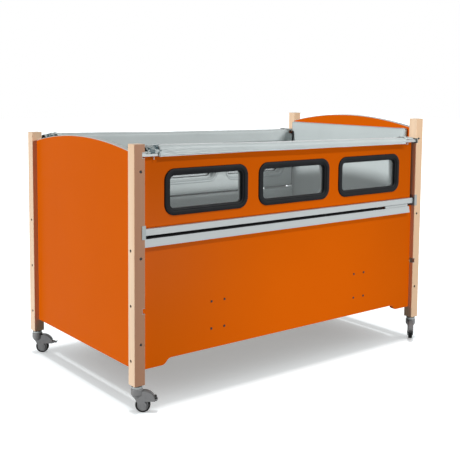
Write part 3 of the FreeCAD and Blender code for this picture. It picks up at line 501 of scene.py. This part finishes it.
def upholstered(node, name, finish, cap, voxel=0.010, draw_in=0.004):
    """A cushion from one plain pad, whose cloth moves out by no more than a cap."""
    shape = bmesh.new()
    shape.from_mesh(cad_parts[node].data)
    bmesh.ops.remove_doubles(shape, verts=shape.verts, dist=SAME_PLACE)
    piece = from_bmesh(name, shape, finish)
    grid = piece.modifiers.new("grid", "REMESH")
    grid.mode = "VOXEL"
    grid.voxel_size = voxel
    settle(piece)
    normals = [vertex.normal.copy() for vertex in piece.data.vertices]
    for vertex, way in zip(piece.data.vertices, normals):
        vertex.co -= way * draw_in
    start = [vertex.co.copy() for vertex in piece.data.vertices]
    cloth = piece.modifiers.new("cloth", "CLOTH")
    cloth.settings.use_pressure = True
    cloth.settings.uniform_pressure_force = PRESSURE
    cloth.settings.effector_weights.gravity = 0
    cloth.settings.quality = CLOTH_QUALITY
    cloth.collision_settings.use_collision = False
    for step in range(CLOTH_FRAMES):
        bpy.context.scene.frame_set(1 + step)
    settle(piece)
    bpy.context.scene.frame_set(1)
    for vertex, place in zip(piece.data.vertices, start):
        moved = vertex.co - place
        if moved.length > cap:
            vertex.co = place + moved.normalized() * cap
    smooth_steps(piece, SMOOTHINGS)
    settle(refined(piece))
    for face in piece.data.polygons:
        face.use_smooth = True
    return piece


def smooth_steps(piece, repeats):
    shape = bmesh.new()
    shape.from_mesh(piece.data)
    for _ in range(repeats):
        bmesh.ops.smooth_vert(shape, verts=shape.verts, factor=0.5,
                              use_axis_x=True, use_axis_y=True, use_axis_z=True)
    shape.to_mesh(piece.data)
    shape.free()


head_pad = upholstered("head_pad", "head_cushion", PAD_CLOTH, 0.006)
foot_pad = upholstered("foot_pad", "foot_cushion", PAD_CLOTH, 0.006)
side_pad = upholstered("side_pad_front", "side_cushion_front", PAD_CLOTH, 0.004, 0.009, 0.002)
flap_pad = upholstered("flap_pad_front", "flap_cushion_front", PAD_CLOTH, 0.004, 0.009, 0.002)
mattress = upholstered("mattress", "mattress_body", MATTRESS_CLOTH, 0.006, 0.014)
side_pad_rear = mirrored(side_pad, "side_cushion_rear")
flap_pad_rear = mirrored(flap_pad, "flap_cushion_rear")
CUSHIONS = (
    (head_pad, "head_pad", "bed", "pad_cloth"), (foot_pad, "foot_pad", "bed", "pad_cloth"),
    (side_pad, "side_pad_front", "bed", "pad_cloth"),
    (side_pad_rear, "side_pad_rear", "bed", "pad_cloth"),
    (flap_pad, "flap_pad_front", "flap_front", "pad_cloth"),
    (flap_pad_rear, "flap_pad_rear", "flap_rear", "pad_cloth"),
    (mattress, "mattress", "bed", "mattress_cloth"))
for piece, node, body, slot in CUSHIONS:
    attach(piece, body)
    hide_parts(node)


# Cloth covers over the top rails, gathered at both ends: levels of crown and hem along the rail
COVER_ENDS = (-0.915, 0.915)
COVER_CROWNS = ((-0.915, 1.3185), (-0.622, 1.3135), (-0.146, 1.3045), (0.403, 1.2985),
                (0.915, 1.2940))
COVER_HEMS = ((-0.915, 1.2685), (-0.45, 1.2655), (-0.1, 1.2610), (0.37, 1.2592), (0.915, 1.2570))
COVER_BACK_HEM = 1.213
COVER_FRONT, COVER_BACK, COVER_BEND = -0.5958, -0.5000, 0.019
# Columns of the cover along the rail, and its rows up the front, round a bend, over and down
COVER_COLUMNS = 300
FRONT_ROWS, BEND_ROWS, TOP_ROWS, BACK_ROWS = 12, 8, 12, 6
COVER_CLOTH = 0.0016
# The hem hangs lower and the cloth is tucked in towards each end, over these lengths
END_DROP, END_DROP_LENGTH = 0.007, 0.020
END_TUCK, END_TUCK_LENGTH = 0.004, 0.006
HEM_RIPPLE, HEM_ROLL, HEM_GROOVE = 0.0010, 0.0012, 0.0008
GATHER_LENGTH, DIAGONAL_LENGTH = 0.11, 0.22
MOST_FOLD = 0.0035


def level_at(levels, along):
    """The level at a place along the rail, between the places that are given."""
    for (x0, z0), (x1, z1) in zip(levels, levels[1:]):
        if along <= x1:
            share = (along - x0) / (x1 - x0)
            return z0 + (z1 - z0) * share
    return levels[-1][1]


def cover_section(crown, hem):
    """Places and outward directions round the cover, from front hem to back hem."""
    shoulder = crown - COVER_BEND
    front_bend, back_bend = COVER_FRONT + COVER_BEND, COVER_BACK - COVER_BEND
    made = []
    for step in range(FRONT_ROWS + 1):
        made.append(((COVER_FRONT, hem + (shoulder - hem) * step / FRONT_ROWS), (-1, 0)))
    for step in range(1, BEND_ROWS + 1):
        angle = math.radians(180 - 90 * step / BEND_ROWS)
        way = (math.cos(angle), math.sin(angle))
        made.append(((front_bend + COVER_BEND * way[0], shoulder + COVER_BEND * way[1]), way))
    for step in range(1, TOP_ROWS):
        made.append(((front_bend + (back_bend - front_bend) * step / TOP_ROWS, crown), (0, 1)))
    for step in range(BEND_ROWS + 1):
        angle = math.radians(90 - 90 * step / BEND_ROWS)
        way = (math.cos(angle), math.sin(angle))
        made.append(((back_bend + COVER_BEND * way[0], shoulder + COVER_BEND * way[1]), way))
    for step in range(1, BACK_ROWS + 1):
        level = shoulder - (shoulder - COVER_BACK_HEM) * step / BACK_ROWS
        made.append(((COVER_BACK, level), (1, 0)))
    return made


def to_nearer_end(along):
    return min(along - COVER_ENDS[0], COVER_ENDS[1] - along)


def fold_height(along, share):
    """How far the cloth stands out of its smooth form, in metres."""
    from_end = to_nearer_end(along)
    gather = math.exp(-from_end / GATHER_LENGTH)
    slack = noise.noise(Vector((along * 2.6, share * 2.2, 3.1))) * 0.0022
    drawn = noise.noise(Vector((along * 34 + share * 7, share * 1.6, 7.7))) * 0.0006
    bunched = noise.noise(Vector((along * 48 + share * 16, share * 2.4, 1.3))) * 0.0036 * gather
    diagonal = noise.noise(Vector((along * 21 - share * 22, share * 2.0, 9.4))) * 0.0022
    return slack + drawn + bunched + diagonal * math.exp(-from_end / DIAGONAL_LENGTH)


def close_columns(shape, columns):
    """Lays faces between neighbouring columns of points."""
    for one, two in zip(columns, columns[1:]):
        for place in range(len(one) - 1):
            shape.faces.new((one[place], two[place], two[place + 1], one[place + 1]))


def drape_cover(name):
    """The cloth over one top rail, and the area of its upper side."""
    shape = bmesh.new()
    columns = []
    for index in range(COVER_COLUMNS + 1):
        along = COVER_ENDS[0] + (COVER_ENDS[1] - COVER_ENDS[0]) * index / COVER_COLUMNS
        from_end = to_nearer_end(along)
        dropped = END_DROP * max(0.0, 1 - from_end / END_DROP_LENGTH) ** 2
        ripple = noise.noise(Vector((along * 7, 0.4, 2.2))) * HEM_RIPPLE
        section = cover_section(level_at(COVER_CROWNS, along),
                                level_at(COVER_HEMS, along) - dropped + ripple)
        column = []
        for place, ((y, z), way) in enumerate(section):
            share = place / (len(section) - 1)
            out = fold_height(along, share)
            if place < 2:
                out += HEM_ROLL
            if place in (2, 3):
                out -= HEM_GROOVE
            tuck = END_TUCK * max(0.0, 1 - from_end / END_TUCK_LENGTH) ** 2
            out = min(out, MOST_FOLD) - tuck
            if way == (1, 0):
                out = min(out, 0.0)
            column.append(shape.verts.new((along, y + way[0] * out, z + way[1] * out)))
        columns.append(column)
    close_columns(shape, columns)
    area = sum(face.calc_area() for face in shape.faces)
    bmesh.ops.recalc_face_normals(shape, faces=shape.faces)
    if shape.faces[0].normal.y > 0:
        bmesh.ops.reverse_faces(shape, faces=shape.faces)
    return settle(thickened(poured(name, shape, PAD_CLOTH), COVER_CLOTH, -1)), area


cover, cover_area = drape_cover("rail_cover_front")
cover_rear = mirrored(cover, "rail_cover_rear")
for piece, side in ((cover, "front"), (cover_rear, "rear")):
    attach(piece, "flap_" + side)
    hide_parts("flap_cover_" + side)


# Tails: where they start along the bed, how long they run and the arch that they follow
TAIL_START, TAIL_LENGTH = 0.900, 0.082
TAIL_COLUMNS, TAIL_ROWS = 34, 26
TAIL_MIDDLE, TAIL_HALF_WIDTH, TAIL_LEVEL = -0.5585, 0.0335, 1.2888
TAIL_ARCH_START, TAIL_ARCH = 196, 200
TAIL_SAG, TAIL_TAPER = 0.004, 0.3
TAIL_CLOTH = 0.0014


def bunch_tail(name, way, crown, finish):
    """The loose end of a cover, bunched over the latch bar beside the post."""
    shape = bmesh.new()
    columns = []
    for index in range(TAIL_COLUMNS + 1):
        share = index / TAIL_COLUMNS
        along = way * (TAIL_START + TAIL_LENGTH * share)
        rise = crown - TAIL_TAPER * crown * share
        column = []
        for place in range(TAIL_ROWS + 1):
            turn = place / TAIL_ROWS
            angle = math.radians(TAIL_ARCH_START - TAIL_ARCH * turn)
            y = TAIL_MIDDLE + TAIL_HALF_WIDTH * math.cos(angle)
            z = TAIL_LEVEL + rise * math.sin(angle) - TAIL_SAG * share
            crumple = noise.noise(Vector((along * 85, turn * 5, 4.2 + way)))
            crease = noise.noise(Vector((along * 42 + turn * 9, turn * 11, 8.1)))
            out = (crumple * 0.0052 + crease * 0.0034) * (0.35 + 0.65 * math.sin(math.pi * turn))
            column.append(shape.verts.new((along, y + math.cos(angle) * out,
                                           z + abs(math.sin(angle)) * out)))
        columns.append(column)
    close_columns(shape, columns)
    tail = from_bmesh(name, shape, finish)
    area = sum(face.area for face in tail.data.polygons)
    return settle(refined(thickened(tail, TAIL_CLOTH, 0))), area


# The foot tails are painted dark as painted shade in their gathers; the head tails keep the plain
# pad cloth
for end, way, crown, finish in (("foot", -1, 0.034, SHADED_GATHER), ("head", 1, 0.0135, PAD_CLOTH)):
    tail, tail_area = bunch_tail("cover_tail_%s_front" % end, way, crown, finish)
    for piece, side in ((tail, "front"), (mirrored(tail, "cover_tail_%s_rear" % end), "rear")):
        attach(piece, "flap_" + side)


# Bindings round the pads' windows, welts along the pads' edges and their stitches
RAY_START, RAY_LENGTH = 0.2, 0.6
PAD_MIDDLE = -0.5
BINDING_CLOTH, BINDING_LIFT = 0.0012, 0.0004
BINDING_INSETS, SEAM_INSETS = (0.014, 0.008, 0.002, -0.004), (0.011, -0.001)
STITCH_SPACING, STITCH_LIFT = 0.008, 0.0018
LINING_CLOTH = 0.001
WELT_RADIUS, WELT_LIFT, WELT_CORNER = 0.0026, 0.0006, 0.012
SIDE_WELT_INSET, END_WELT_INSET = 0.007, 0.013
WELT_ARC_STEPS, WELT_STEP = 6, 0.02


def skin_of(piece):
    return BVHTree.FromPolygons([vertex.co for vertex in piece.data.vertices],
                                [face.vertices[:] for face in piece.data.polygons])


def laid_on(skin, point, way, lift):
    """Where a point comes to lie when it is pushed onto a skin."""
    hit = skin.ray_cast(point - way * RAY_START, way, RAY_LENGTH)[0]
    return (hit if hit else point) - way * lift


def welt_cord(name, points):
    """A round cord along a closed line."""
    curve = bpy.data.curves.new(name, "CURVE")
    curve.dimensions = "3D"
    curve.bevel_depth = WELT_RADIUS
    curve.bevel_resolution = 2
    line = curve.splines.new("POLY")
    line.points.add(len(points) - 1)
    for place, point in zip(line.points, points):
        place.co = (*point, 1)
    line.use_cyclic_u = True
    holder = placed(name, curve)
    mesh = bpy.data.meshes.new_from_object(
        holder.evaluated_get(bpy.context.evaluated_depsgraph_get()))
    bpy.data.objects.remove(holder)
    mesh.materials.clear()
    return new_piece(name, mesh, BINDING)


def band(name, skin, way, outlines):
    """A flat ring of cloth between nested outlines, laid on a skin."""
    shape = bmesh.new()
    rings = [[shape.verts.new(laid_on(skin, point, way, BINDING_LIFT)) for point in line]
             for line in outlines]
    for one, two in zip(rings, rings[1:]):
        for index in range(len(one)):
            shape.faces.new((one[index - 1], one[index], two[index], two[index - 1]))
    made = from_bmesh(name, shape, BINDING)
    if made.data.polygons[0].normal.dot(way) > 0:
        made.data.flip_normals()
    return settle(thickened(made, BINDING_CLOTH, 1))


def new_tree(name, sizes):
    """An empty node group for a shape, with its sizes and its finish as inputs."""
    tree = bpy.data.node_groups.new(name, "GeometryNodeTree")
    face = tree.interface
    face.new_socket("Geometry", in_out="INPUT", socket_type="NodeSocketGeometry")
    for label, value in sizes:
        face.new_socket(label, in_out="INPUT", socket_type="NodeSocketFloat").default_value = value
    face.new_socket("Finish", in_out="INPUT", socket_type="NodeSocketMaterial")
    face.new_socket("Geometry", in_out="OUTPUT", socket_type="NodeSocketGeometry")
    return tree


def stitch_tree():
    """Geometry nodes that set stitches along the edges of a path."""
    tree = new_tree("stitch_row",
                    (("Spacing", STITCH_SPACING), ("Length", 0.0045), ("Radius", 0.0007)))
    nodes, links = tree.nodes, tree.links
    given, result = nodes.new("NodeGroupInput"), nodes.new("NodeGroupOutput")
    line = nodes.new("GeometryNodeMeshToCurve")
    even = nodes.new("GeometryNodeResampleCurve")
    even.mode = "LENGTH"
    stitch = nodes.new("GeometryNodeMeshCylinder")
    stitch.inputs["Vertices"].default_value = 6
    along = nodes.new("GeometryNodeInputTangent")
    aim = nodes.new("FunctionNodeAlignEulerToVector")
    aim.axis = "Z"
    setter = nodes.new("GeometryNodeInstanceOnPoints")
    real = nodes.new("GeometryNodeRealizeInstances")
    painted = nodes.new("GeometryNodeSetMaterial")
    links.new(given.outputs["Geometry"], line.inputs["Mesh"])
    links.new(line.outputs["Curve"], even.inputs["Curve"])
    links.new(given.outputs["Spacing"], even.inputs["Length"])
    links.new(given.outputs["Length"], stitch.inputs["Depth"])
    links.new(given.outputs["Radius"], stitch.inputs["Radius"])
    links.new(even.outputs["Curve"], setter.inputs["Points"])
    links.new(stitch.outputs["Mesh"], setter.inputs["Instance"])
    links.new(along.outputs["Tangent"], aim.inputs["Vector"])
    links.new(aim.outputs["Rotation"], setter.inputs["Rotation"])
    links.new(setter.outputs["Instances"], real.inputs["Geometry"])
    links.new(real.outputs["Geometry"], painted.inputs["Geometry"])
    links.new(given.outputs["Finish"], painted.inputs["Material"])
    links.new(painted.outputs["Geometry"], result.inputs["Geometry"])
    return tree


STITCHES = stitch_tree()


def stitched(name, lines):
    """Rows of stitches along closed lines, as one piece."""
    mesh = bpy.data.meshes.new(name)
    points, edges = [], []
    for line in lines:
        first = len(points)
        points.extend(line)
        edges.extend((first + k, first + k + 1) for k in range(len(line) - 1))
        edges.append((first + len(line) - 1, first))
    mesh.from_pydata(points, edges, [])
    mesh.materials.append(THREAD)
    row = placed(name, mesh)
    maker = row.modifiers.new("stitches", "NODES")
    maker.node_group = STITCHES
    inputs = node_inputs(STITCHES)
    maker[inputs["Spacing"]] = STITCH_SPACING
    maker[inputs["Finish"]] = THREAD
    return settle(row)


def both_sides(piece, front_name, rear_name, body):
    """Puts a front piece and its twin on the two flaps, or both on the bed."""
    piece.name = front_name
    for made, side in ((piece, "front"), (mirrored(piece, rear_name), "rear")):
        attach(made, body if body == "bed" else body + side)


def welt_line(along_ends, level_ends, inset, depth):
    """A rounded rectangle in an upright plane, with points along its straights."""
    middle_x, middle_z = sum(along_ends) / 2, sum(level_ends) / 2
    half_x, half_z = (((ends[1] - inset) - (ends[0] + inset)) / 2 - WELT_CORNER
                      for ends in (along_ends, level_ends))
    arcs = []
    for turn, (sx, sz) in enumerate(TURNS):
        for step in range(WELT_ARC_STEPS + 1):
            angle = math.radians(90 * (turn + step / WELT_ARC_STEPS))
            arcs.append(Vector((middle_x + sx * half_x + WELT_CORNER * math.cos(angle), depth,
                                middle_z + sz * half_z + WELT_CORNER * math.sin(angle))))
    points = []
    for one, two in zip(arcs, arcs[1:] + arcs[:1]):
        parts = max(1, int((two - one).length / WELT_STEP))
        points.extend(one.lerp(two, part / parts) for part in range(parts))
    return points


INWARD_FRONT = Vector((0, -1, 0))
flap_skin = skin_of(flap_pad)
side_skin = skin_of(side_pad)
# Linings of the pads' windows, from under the binding to the gasket
LINING_SECTION = ((0.006, 0.5085), (0.014, 0.5100), (0.0185, 0.5160), (0.0198, 0.5300),
                  (0.0200, 0.5425), (0.0220, 0.5448), (0.0320, 0.5452))
linings = []
bindings = []
binding_seams = []
for middle in WINDOW_PLACES:
    lining = window_ring("lining", middle, LINING_SECTION, PAD_CLOTH, False)
    linings.append(settle(thickened(lining, LINING_CLOTH, 0)))
    bindings.append(band("binding", flap_skin, INWARD_FRONT,
                         [window_line(middle, inset, PAD_MIDDLE) for inset in BINDING_INSETS]))
    for inset in SEAM_INSETS:
        binding_seams.append([laid_on(flap_skin, point, INWARD_FRONT, STITCH_LIFT)
                              for point in window_line(middle, inset, PAD_MIDDLE)])
both_sides(joined("window_lining", linings), "window_lining_front", "window_lining_rear",
           "flap_")
both_sides(joined("window_binding", bindings), "window_binding_front", "window_binding_rear",
           "flap_")
both_sides(stitched("binding_stitches", binding_seams), "binding_stitches_front",
           "binding_stitches_rear", "flap_")


# Sewn cords along the inner edges of the pads
for skin, node, name, body in ((flap_skin, "flap_pad_front", "flap_welt", "flap_"),
                               (side_skin, "side_pad_front", "side_welt", "bed")):
    line = welt_line((low(node).x, high(node).x), (low(node).z, high(node).z),
                     SIDE_WELT_INSET, PAD_MIDDLE)
    cord = welt_cord(name, [laid_on(skin, point, INWARD_FRONT, WELT_LIFT) for point in line])
    both_sides(cord, name + "_front", name + "_rear", body)
# The rays that lay the end pads' cords on start this far from the bed's middle
END_WELT_START = 0.9
for pad, node, end in ((head_pad, "head_pad", 1), (foot_pad, "foot_pad", -1)):
    skin = skin_of(pad)
    flat = welt_line((low(node).y, high(node).y), (low(node).z, high(node).z), END_WELT_INSET, 0.0)
    line = [laid_on(skin, Vector((END_WELT_START * end, point.x, point.z)), Vector((end, 0, 0)),
                    WELT_LIFT) for point in flat]
    cord = welt_cord(node.replace("pad", "welt"), line)
    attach(cord, "bed")


# Screw heads with hexagon sockets, set on the plain heads of the model
HEAD_TOP_SHARE, SOCKET_SHARE = 0.82, 0.5


def screw_tree():
    """Geometry nodes that set one tapered head with a socket on each point."""
    tree = new_tree("screw_heads", (("Radius", 0.0055), ("Height", 0.0035)))
    nodes, links = tree.nodes, tree.links
    given, result = nodes.new("NodeGroupInput"), nodes.new("NodeGroupOutput")
    head = nodes.new("GeometryNodeMeshCone")
    head.inputs["Vertices"].default_value = 20
    top = nodes.new("ShaderNodeMath")
    top.operation = "MULTIPLY"
    top.inputs[1].default_value = HEAD_TOP_SHARE
    socket = nodes.new("GeometryNodeMeshCylinder")
    socket.inputs["Vertices"].default_value = 6
    small = nodes.new("ShaderNodeMath")
    small.operation = "MULTIPLY"
    small.inputs[1].default_value = SOCKET_SHARE
    carve = nodes.new("GeometryNodeMeshBoolean")
    carve.operation = "DIFFERENCE"
    setter = nodes.new("GeometryNodeInstanceOnPoints")
    normal = nodes.new("GeometryNodeInputNamedAttribute")
    normal.data_type = "FLOAT_VECTOR"
    normal.inputs["Name"].default_value = "outward"
    aim = nodes.new("FunctionNodeAlignEulerToVector")
    aim.axis = "Z"
    real = nodes.new("GeometryNodeRealizeInstances")
    painted = nodes.new("GeometryNodeSetMaterial")
    links.new(given.outputs["Radius"], head.inputs["Radius Bottom"])
    links.new(given.outputs["Radius"], top.inputs[0])
    links.new(top.outputs[0], head.inputs["Radius Top"])
    links.new(given.outputs["Height"], head.inputs["Depth"])
    links.new(given.outputs["Radius"], small.inputs[0])
    links.new(small.outputs[0], socket.inputs["Radius"])
    links.new(given.outputs["Height"], socket.inputs["Depth"])
    lift = nodes.new("GeometryNodeTransform")
    offset = nodes.new("ShaderNodeCombineXYZ")
    links.new(given.outputs["Height"], offset.inputs["Z"])
    links.new(offset.outputs["Vector"], lift.inputs["Translation"])
    links.new(socket.outputs["Mesh"], lift.inputs["Geometry"])
    links.new(head.outputs["Mesh"], carve.inputs["Mesh 1"])
    links.new(lift.outputs["Geometry"], carve.inputs["Mesh 2"])
    links.new(given.outputs["Geometry"], setter.inputs["Points"])
    links.new(carve.outputs["Mesh"], setter.inputs["Instance"])
    links.new(normal.outputs["Attribute"], aim.inputs["Vector"])
    links.new(aim.outputs["Rotation"], setter.inputs["Rotation"])
    links.new(setter.outputs["Instances"], real.inputs["Geometry"])
    links.new(real.outputs["Geometry"], painted.inputs["Geometry"])
    links.new(given.outputs["Finish"], painted.inputs["Material"])
    links.new(painted.outputs["Geometry"], result.inputs["Geometry"])
    return tree


SCREW_HEADS = screw_tree()


def screw_heads(name, places, radius, height):
    """One head at each place, given with the way that it faces."""
    mesh = bpy.data.meshes.new(name)
    mesh.from_pydata([place for place, _ in places], [], [])
    ways = mesh.attributes.new("outward", "FLOAT_VECTOR", "POINT")
    for index, (_, way) in enumerate(places):
        ways.data[index].vector = way
    mesh.materials.append(SCREW)
    heads = placed(name, mesh)
    maker = heads.modifiers.new("heads", "NODES")
    maker.node_group = SCREW_HEADS
    inputs = node_inputs(SCREW_HEADS)
    maker[inputs["Radius"]] = radius
    maker[inputs["Height"]] = height
    maker[inputs["Finish"]] = SCREW
    settle(heads)
    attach(heads, "bed")


# Places of the heads: (along, out, up) of each group's middle, and the steps within it
SUPPORT_PLACE, SUPPORT_STEP = (0.533, 0.57355, 0.413), (0.0425, 0.0725)
BRACKET_ALONG, BRACKET_OUTS, BRACKET_LEVEL = 0.9953, (0.590, 0.568), 0.910
POST_FOOT = 0.138
SIDE_BOLT_PLACE, SIDE_BOLT_LEVELS = (1.024, 0.5953), {-1: (0.206, 0.633, 1.057),
                                                      1: (0.199, 0.672, 1.149)}
END_BOLT_PLACE, END_BOLT_LEVELS = (1.0553, 0.564), {-1: (0.122, 0.397, 0.670),
                                                    1: (0.122, 0.397, 0.628)}
# The radius and the height of each kind of head
SUPPORT_HEAD, BRACKET_HEAD, BOLT_HEAD = (0.0066, 0.0017), (0.0046, 0.0022), (0.0070, 0.0030)

support_heads = []
bracket_heads = []
bolt_heads = []
for side in (-1, 1):
    for end in (-1, 1):
        for dx in (-SUPPORT_STEP[0], SUPPORT_STEP[0]):
            for dz in (-SUPPORT_STEP[1], SUPPORT_STEP[1]):
                support_heads.append(((end * (SUPPORT_PLACE[0] + dx), side * SUPPORT_PLACE[1],
                                       SUPPORT_PLACE[2] + dz), (0, side, 0)))
        for out in BRACKET_OUTS:
            bracket_heads.append(((end * BRACKET_ALONG, side * out, BRACKET_LEVEL), (-end, 0, 0)))
        for place, levels, way in ((SIDE_BOLT_PLACE, SIDE_BOLT_LEVELS, (0, side, 0)),
                                   (END_BOLT_PLACE, END_BOLT_LEVELS, (end, 0, 0))):
            for level in levels[end]:
                bolt_heads.append(((end * place[0], side * place[1], POST_FOOT + level), way))
screw_heads("support_heads", support_heads, *SUPPORT_HEAD)
screw_heads("bracket_heads", bracket_heads, *BRACKET_HEAD)
screw_heads("bolt_heads", bolt_heads, *BOLT_HEAD)


# Dark seals on the castors' bearings, with their section as (radius, height)
CASTOR_ALONG, CASTOR_ACROSS = 1.03, 0.57
SEAL_SECTION = ((0.0235, 0.1313), (0.0254, 0.1313), (0.0260, 0.1322), (0.0260, 0.1365),
                (0.0252, 0.1376), (0.0235, 0.1376))
LATHE_STEPS = 40


def lathe(name, profile, centre, finish):
    """A closed profile of (radius, height) turned about an upright line."""
    shape = bmesh.new()
    rings = []
    for step in range(LATHE_STEPS):
        angle = 2 * math.pi * step / LATHE_STEPS
        rings.append([shape.verts.new((centre[0] + radius * math.cos(angle),
                                       centre[1] + radius * math.sin(angle), height))
                      for radius, height in profile])
    for step in range(LATHE_STEPS):
        one, two = rings[step - 1], rings[step]
        for corner in range(len(profile)):
            shape.faces.new((one[corner - 1], one[corner], two[corner], two[corner - 1]))
    return from_bmesh(name, shape, finish)


for corner in CORNERS:
    end, side = corner.split("_")
    centre = (-CASTOR_ALONG if end == "foot" else CASTOR_ALONG,
              -CASTOR_ACROSS if side == "front" else CASTOR_ACROSS)
    seal = lathe("bearing_seal_" + corner, SEAL_SECTION, centre, BLACK_PLASTIC)
    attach(seal, "bed")


# Floor, world and lamps
FLOOR_HALF = 30
FLOOR_GLOW = 0.325
WORLD_LEVEL = 0.14


def seen_rays(nodes, links):
    """High for the rays that see a thing straight, in a mirror or through glass."""
    path = nodes.new("ShaderNodeLightPath")
    total = path.outputs["Is Camera Ray"]
    for kind in ("Is Glossy Ray", "Is Transmission Ray"):
        more = nodes.new("ShaderNodeMath")
        more.operation = "MAXIMUM"
        links.new(total, more.inputs[0])
        links.new(path.outputs[kind], more.inputs[1])
        total = more.outputs[0]
    return total


def lay_floor():
    """A pale floor that keeps the shadow and glows a little where it is seen."""
    mesh = bpy.data.meshes.new("floor")
    mesh.from_pydata([(-FLOOR_HALF, -FLOOR_HALF, 0), (FLOOR_HALF, -FLOOR_HALF, 0),
                      (FLOOR_HALF, FLOOR_HALF, 0), (-FLOOR_HALF, FLOOR_HALF, 0)], [], [(0, 1, 2, 3)])
    pale = bpy.data.materials.new("pale_floor")
    pale.use_nodes = True
    nodes, links = pale.node_tree.nodes, pale.node_tree.links
    shader = nodes["Principled BSDF"]
    shader.inputs["Base Color"].default_value = (0.82, 0.88, 0.90, 1)
    shader.inputs["Roughness"].default_value = 0.9
    shader.inputs["Specular IOR Level"].default_value = 0
    lift = nodes.new("ShaderNodeMath")
    lift.operation = "MULTIPLY"
    lift.inputs[1].default_value = FLOOR_GLOW
    links.new(seen_rays(nodes, links), lift.inputs[0])
    shader.inputs["Emission Color"].default_value = (1, 1, 1, 1)
    links.new(lift.outputs[0], shader.inputs["Emission Strength"])
    mesh.materials.append(pale)
    floor = placed("floor", mesh)
    floor.visible_diffuse = False
    return floor


def light_world():
    """A white ground where it is seen, and a low even light on the bed."""
    world = bpy.data.worlds.new("studio")
    bpy.context.scene.world = world
    world.use_nodes = True
    nodes, links = world.node_tree.nodes, world.node_tree.links
    back = nodes["Background"]
    back.inputs["Color"].default_value = (1, 1, 1, 1)
    level = nodes.new("ShaderNodeMapRange")
    level.inputs["To Min"].default_value = WORLD_LEVEL
    level.inputs["To Max"].default_value = 1.0
    links.new(seen_rays(nodes, links), level.inputs["Value"])
    links.new(level.outputs["Result"], back.inputs["Strength"])


def hang(name, data, place, aim, lit):
    """Puts a lamp in its place, looking at another, to light one collection."""
    lamp = placed(name, data)
    lamp.location = place
    lamp.rotation_euler = (Vector(aim) - Vector(place)).to_track_quat("-Z", "Y").to_euler()
    lamp.light_linking.receiver_collection = lit


def lit_only(things, state):
    """A collection that a lamp lights, or spares, without regard to the rest."""
    chosen = bpy.data.collections.new("lamp_" + state.lower())
    for thing in things:
        chosen.objects.link(thing)
    for link in chosen.collection_objects:
        link.light_linking.link_state = state
    return chosen


def hang_softbox(name, place, aim, size, power, lit):
    data = bpy.data.lights.new(name, "AREA")
    data.shape = "RECTANGLE"
    data.size, data.size_y = size
    data.energy = power
    hang(name, data, place, aim, lit)


def hang_sun(name, strength, width, way, lit):
    """A far lamp that shines one way, as wide as an angle in degrees."""
    data = bpy.data.lights.new(name, "SUN")
    data.energy = strength
    data.angle = math.radians(width)
    hang(name, data, SUN_PLACE, SUN_PLACE + Vector(way), lit)


# The floor, the front boards and the rest of the bed are each lit apart
SUN_PLACE = Vector((0, 0, 5))
DOWN = (0, 0, -1)
floor = lay_floor()
boards = [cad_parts[name] for name in ("side_panel_front", "flap_panel_front")]
ONLY_FLOOR = lit_only([floor], "INCLUDE")
ONLY_BOARDS = lit_only(boards, "INCLUDE")
NOT_FLOOR = lit_only([floor], "EXCLUDE")
NEITHER = lit_only([floor] + boards, "EXCLUDE")
light_world()
hang_sun("floor_sun", 1.45, 4, DOWN, ONLY_FLOOR)
hang_sun("floor_dome", 2.0, 130, DOWN, ONLY_FLOOR)
hang_sun("foot_light", 2.75, 3, (1, -0.02, -0.15), NOT_FLOOR)
hang_softbox("front_softbox", (3.0, -6.5, 3.65), (0.2, -0.6, 0.8), (0.9, 0.5), 455, NEITHER)
hang_softbox("board_softbox", (0.20, -2.6, 0.35), (0.20, -0.6, 0.5), (0.6, 0.4), 27, ONLY_BOARDS)
hang_sun("board_sun", 1.25, 3, (-0.1, 1, -1.35), ONLY_BOARDS)
